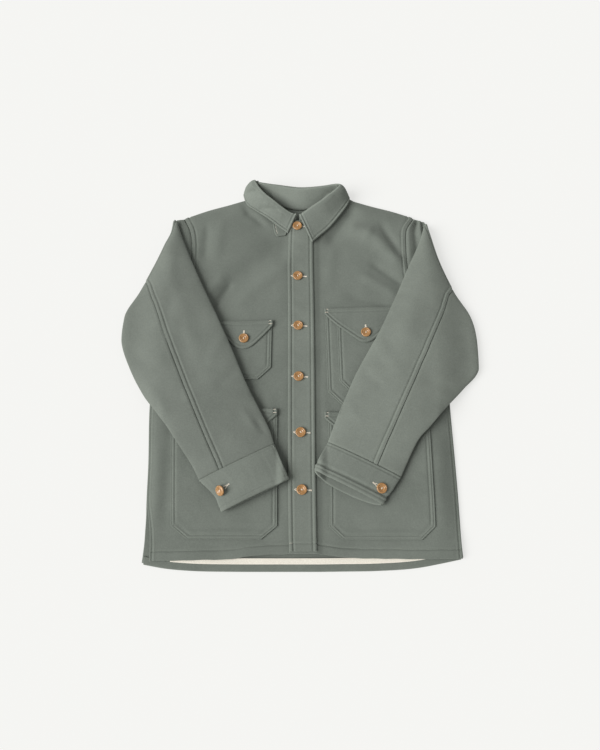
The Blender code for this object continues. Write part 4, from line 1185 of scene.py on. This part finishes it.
# share of the radius, share of the height, from the middle of the back round to the middle of the face
BUTTON_PROFILE = (
    (0.02, 0.0), (0.5, 0.0), (0.78, 0.02), (0.92, 0.16), (0.99, 0.38), (1.0, 0.55), (0.98, 0.72),
    (0.94, 0.87), (0.88, 0.96), (0.80, 1.0), (0.74, 0.94), (0.70, 0.76), (0.67, 0.66), (0.63, 0.70),
    (0.57, 0.78), (0.51, 0.76), (0.45, 0.62), (0.38, 0.50), (0.28, 0.44), (0.15, 0.42), (0.02, 0.41),
)


def nut_finish():
    """Polished nut shell: tan with brown streaks drawn out along one way."""
    material, tree, shader, place = start_finish("nut_shell")
    drawn = add_node(tree, "ShaderNodeMapping", {"Vector": place}, Scale=(1.0, 0.22, 1.0)).outputs[0]
    streak = add_node(tree, "ShaderNodeTexNoise", {"Vector": drawn}, Scale=650.0, Detail=5.0, Roughness=0.6,
                      Distortion=0.6)
    two_tones(tree, streak.outputs[0], (0.200, 0.092, 0.028), (0.480, 0.262, 0.100), (0.30, 0.68))
    shader.inputs["Roughness"].default_value = 0.34
    shader.inputs["Coat Weight"].default_value = 0.25
    shader.inputs["Coat Roughness"].default_value = 0.2
    return material


def button_parts(centre, axis, turn):
    """Button spun from its profile, and three strands of thread between its two holes."""
    axis = np.array(axis, dtype=float) / np.linalg.norm(axis)
    first = np.cross((0.0, 1.0, 0.0), axis)
    first = first / np.linalg.norm(first)
    second = np.cross(axis, first)
    ring = np.arange(BUTTON_SIDES)
    angle = ring * 2 * math.pi / BUTTON_SIDES
    profile = np.array(BUTTON_PROFILE)
    spin = np.cos(angle)[:, None] * first + np.sin(angle)[:, None] * second
    points = (centre + profile[:, 0, None, None] * BUTTON_RADIUS * spin[None]
              + profile[:, 1, None, None] * BUTTON_HEIGHT * axis)
    quads = grid_quads(len(profile), BUTTON_SIDES, closed=True)
    tips = centre + profile[[0, -1], 1, None] * BUTTON_HEIGHT * axis
    count = len(profile) * BUTTON_SIDES
    after = (ring + 1) % BUTTON_SIDES
    last = count - BUTTON_SIDES
    back_cap = np.stack([np.full_like(ring, count), after, ring], axis=-1)
    face_cap = np.stack([np.full_like(ring, count + 1), last + ring, last + after], axis=-1)
    triangles = np.concatenate([quads[:, [0, 1, 2]], quads[:, [0, 2, 3]], back_cap, face_cap])
    lengthways = math.sin(turn) * first + math.cos(turn) * second
    sideways = np.cross(axis, lengthways)
    strands = np.stack([centre + axis * BUTTON_HEIGHT * 0.56 + sideways * offset
                        for offset in (-0.45, 0.0, 0.45)])
    thread = thread_lenses(strands, np.tile(lengthways, (3, 1)), np.tile(axis, (3, 1)), (2.3, 0.42, 0.5))
    return (np.concatenate([points.reshape(-1, 3), tips]), triangles), thread


nut_shell = nut_finish()
seats = []
upright = (0.0, 0.0, 1.0)
for number, (x, y) in enumerate(PLACKET_BUTTONS, 1):
    under = float(front_under(x, y) + overlap_rise(x)) + 2 * CLOTH + GAP
    seats.append((f"placket_{number}", (x, y, under + BUTTON_LIFT), upright, 0.35 - 0.2 * number))
for side, x, y, layers in CHEST_BUTTONS:
    under = float(front_top(x, y)) + (layers + 1) * (CLOTH + GAP)
    seats.append(("chest_" + side, (x, y, under + BUTTON_LIFT), upright, 0.2))
for side, table, lip, girth, along, lean, _ in CUFF_BUTTONS:
    here, beside, ahead = (cuff_point(table, np.array(along + da), np.array(girth + dg), lip)
                           for da, dg in ((0, 0), (0, 0.02), (0.02, 0)))
    axis = np.cross(beside - here, ahead - here)
    axis = axis * np.sign(axis[2]) / np.linalg.norm(axis)
    seats.append(("cuff_" + side, here + axis * BUTTON_LIFT + (0.0, 0.0, -4.0 * lean[0]), axis + lean, 0.5))
threads = []
for name, centre, axis, turn in seats:
    (points, faces), thread = button_parts(np.array(centre, dtype=float), axis, turn)
    thing = make_mesh("jacket_button_" + name, points, faces, nut_shell)
    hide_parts("button_" + name)
    threads.append(thread)
sew("button_thread", threads, cream_thread)

# Buttonholes
# Buttonholes worked in cream thread: close cross threads down both edges of a slit, which the button
# pulls open. They lie across the placket, upright on the chest flaps and slanting on the cuffs.

# distance from the button's centre along the slit, half of its opening there
PLACKET_SLIT = ((-14, 0.3), (-10, 1.8), (0, 2.6), (9, 1.2), (11.5, 0.6), (19, 0.6))
FLAP_SLIT = ((8, 2.9), (13, 0.6), (17.5, 0.5))


def buttonhole(slit, surface):
    """Lenses every 0.6 mm along both edges of a slit, each laid across its edge.

    The surface gives the point at distances along and across the slit from the button.
    """
    slit = np.array(slit)
    along = np.arange(slit[0, 0], slit[-1, 0], 0.6)
    half = np.interp(along, slit[:, 0], slit[:, 1])
    along, across = np.tile(along, 2), np.concatenate([half, -half])
    sideways = surface(along, across + 0.5) - surface(along, across - 0.5)
    ahead = surface(along + 0.5, across) - surface(along - 0.5, across)
    normals = np.cross(ahead, sideways)
    normals = normals / np.linalg.norm(normals, axis=-1, keepdims=True)
    return thread_lenses(surface(along, across) + 0.15 * normals, sideways, normals, (1.0, 0.40, 0.45))


def on_sheet(seat, turn, height):
    """Surface round a seat on a sheet that is given by its height, turned by degrees."""
    turn = math.radians(turn)

    def surface(along, across):
        x = seat[0] + along * math.cos(turn) - across * math.sin(turn)
        y = seat[1] + along * math.sin(turn) + across * math.cos(turn)
        return lay(x, y, height(x, y))

    return surface


def on_cuff(table, lip, seat, turn):
    """Surface round a seat on a cuff: distances become girth and length by the slopes at the seat."""
    here = cuff_point(table, np.array(seat[1]), np.array(seat[0]), lip)
    slopes = np.stack([cuff_point(table, np.array(seat[1]), np.array(seat[0] + 0.01), lip) - here,
                       cuff_point(table, np.array(seat[1] + 0.01), np.array(seat[0]), lip) - here]) * 100
    back = np.linalg.inv(slopes[:, :2].T)
    turn = math.radians(turn)

    def surface(along, across):
        x = along * math.cos(turn) - across * math.sin(turn)
        y = along * math.sin(turn) + across * math.cos(turn)
        girth = seat[0] + back[0, 0] * x + back[0, 1] * y
        length = seat[1] + back[1, 0] * x + back[1, 1] * y
        return cuff_point(table, length, girth, lip)

    return surface


def placket_face(x, y):
    """Height of the outer face of the placket with its wrinkles."""
    return front_under(x, y) + overlap_rise(x) + 2 * CLOTH + GAP + placket_wrinkles(x, y)


def flap_face(layers):
    """Height of the outer face of a flap with so many layers under it, as a function of the place."""
    return lambda x, y: front_top(x, y) + (layers + 1) * (CLOTH + GAP)


holes = [buttonhole(PLACKET_SLIT, on_sheet(seat, -3, placket_face)) for seat in PLACKET_BUTTONS]
for _, x, y, layers in CHEST_BUTTONS:
    holes.append(buttonhole(FLAP_SLIT, on_sheet((x, y), 90, flap_face(layers))))
for _, table, lip, girth, along, _, turn in CUFF_BUTTONS:
    holes.append(buttonhole(FLAP_SLIT, on_cuff(table, lip, (girth, along), turn)))
sew("buttonholes", holes, cream_thread)

# Table, light and camera
# The jacket lies on a plain pale table under soft studio light, seen from over its hem.

floor_mesh = bpy.data.meshes.new("table")
reach = 4.0
floor_mesh.from_pydata([(-reach, -reach, 0), (reach, -reach, 0), (reach, reach, 0), (-reach, reach, 0)], [],
                       [(0, 1, 2, 3)])
floor = bpy.data.objects.new("table", floor_mesh)
bpy.context.scene.collection.objects.link(floor)
paper = bpy.data.materials.new("pale_table")
paper.use_nodes = True
pale = paper.node_tree.nodes["Principled BSDF"]
pale.inputs["Base Color"].default_value = (0.22, 0.22, 0.215, 1.0)
pale.inputs["Roughness"].default_value = 1.0
pale.inputs["Specular IOR Level"].default_value = 0.0
pale.inputs["Emission Color"].default_value = (1.0, 1.0, 0.975, 1.0)
pale.inputs["Emission Strength"].default_value = 0.655
floor_mesh.materials.append(paper)

key = bpy.data.lights.new("soft_key", "SUN")
key.energy = 3.8
key.angle = math.radians(42)
lamp = bpy.data.objects.new("soft_key", key)
towards = np.array((0.74, 0.24, -0.63))
lamp.rotation_euler = (math.atan2(math.hypot(towards[0], towards[1]), -towards[2]), 0,
                       math.atan2(towards[1], towards[0]) - math.pi / 2)
bpy.context.scene.collection.objects.link(lamp)

world = bpy.data.worlds.new("studio")
world.use_nodes = True
world.node_tree.nodes["Background"].inputs["Color"].default_value = (1.0, 1.0, 0.995, 1.0)
world.node_tree.nodes["Background"].inputs["Strength"].default_value = 0.42
bpy.context.scene.world = world
bpy.context.scene.view_settings.view_transform = "Standard"

lens = bpy.data.cameras.new("camera")
lens.lens = 36.0
lens.sensor_width = 36.0
lens.sensor_fit = "AUTO"
camera = bpy.data.objects.new("camera", lens)
camera.location = (0.0018, -0.5378, 1.41)
camera.rotation_euler = (math.radians(20), 0.0, 0.0)
bpy.context.scene.collection.objects.link(camera)
bpy.context.scene.camera = camera
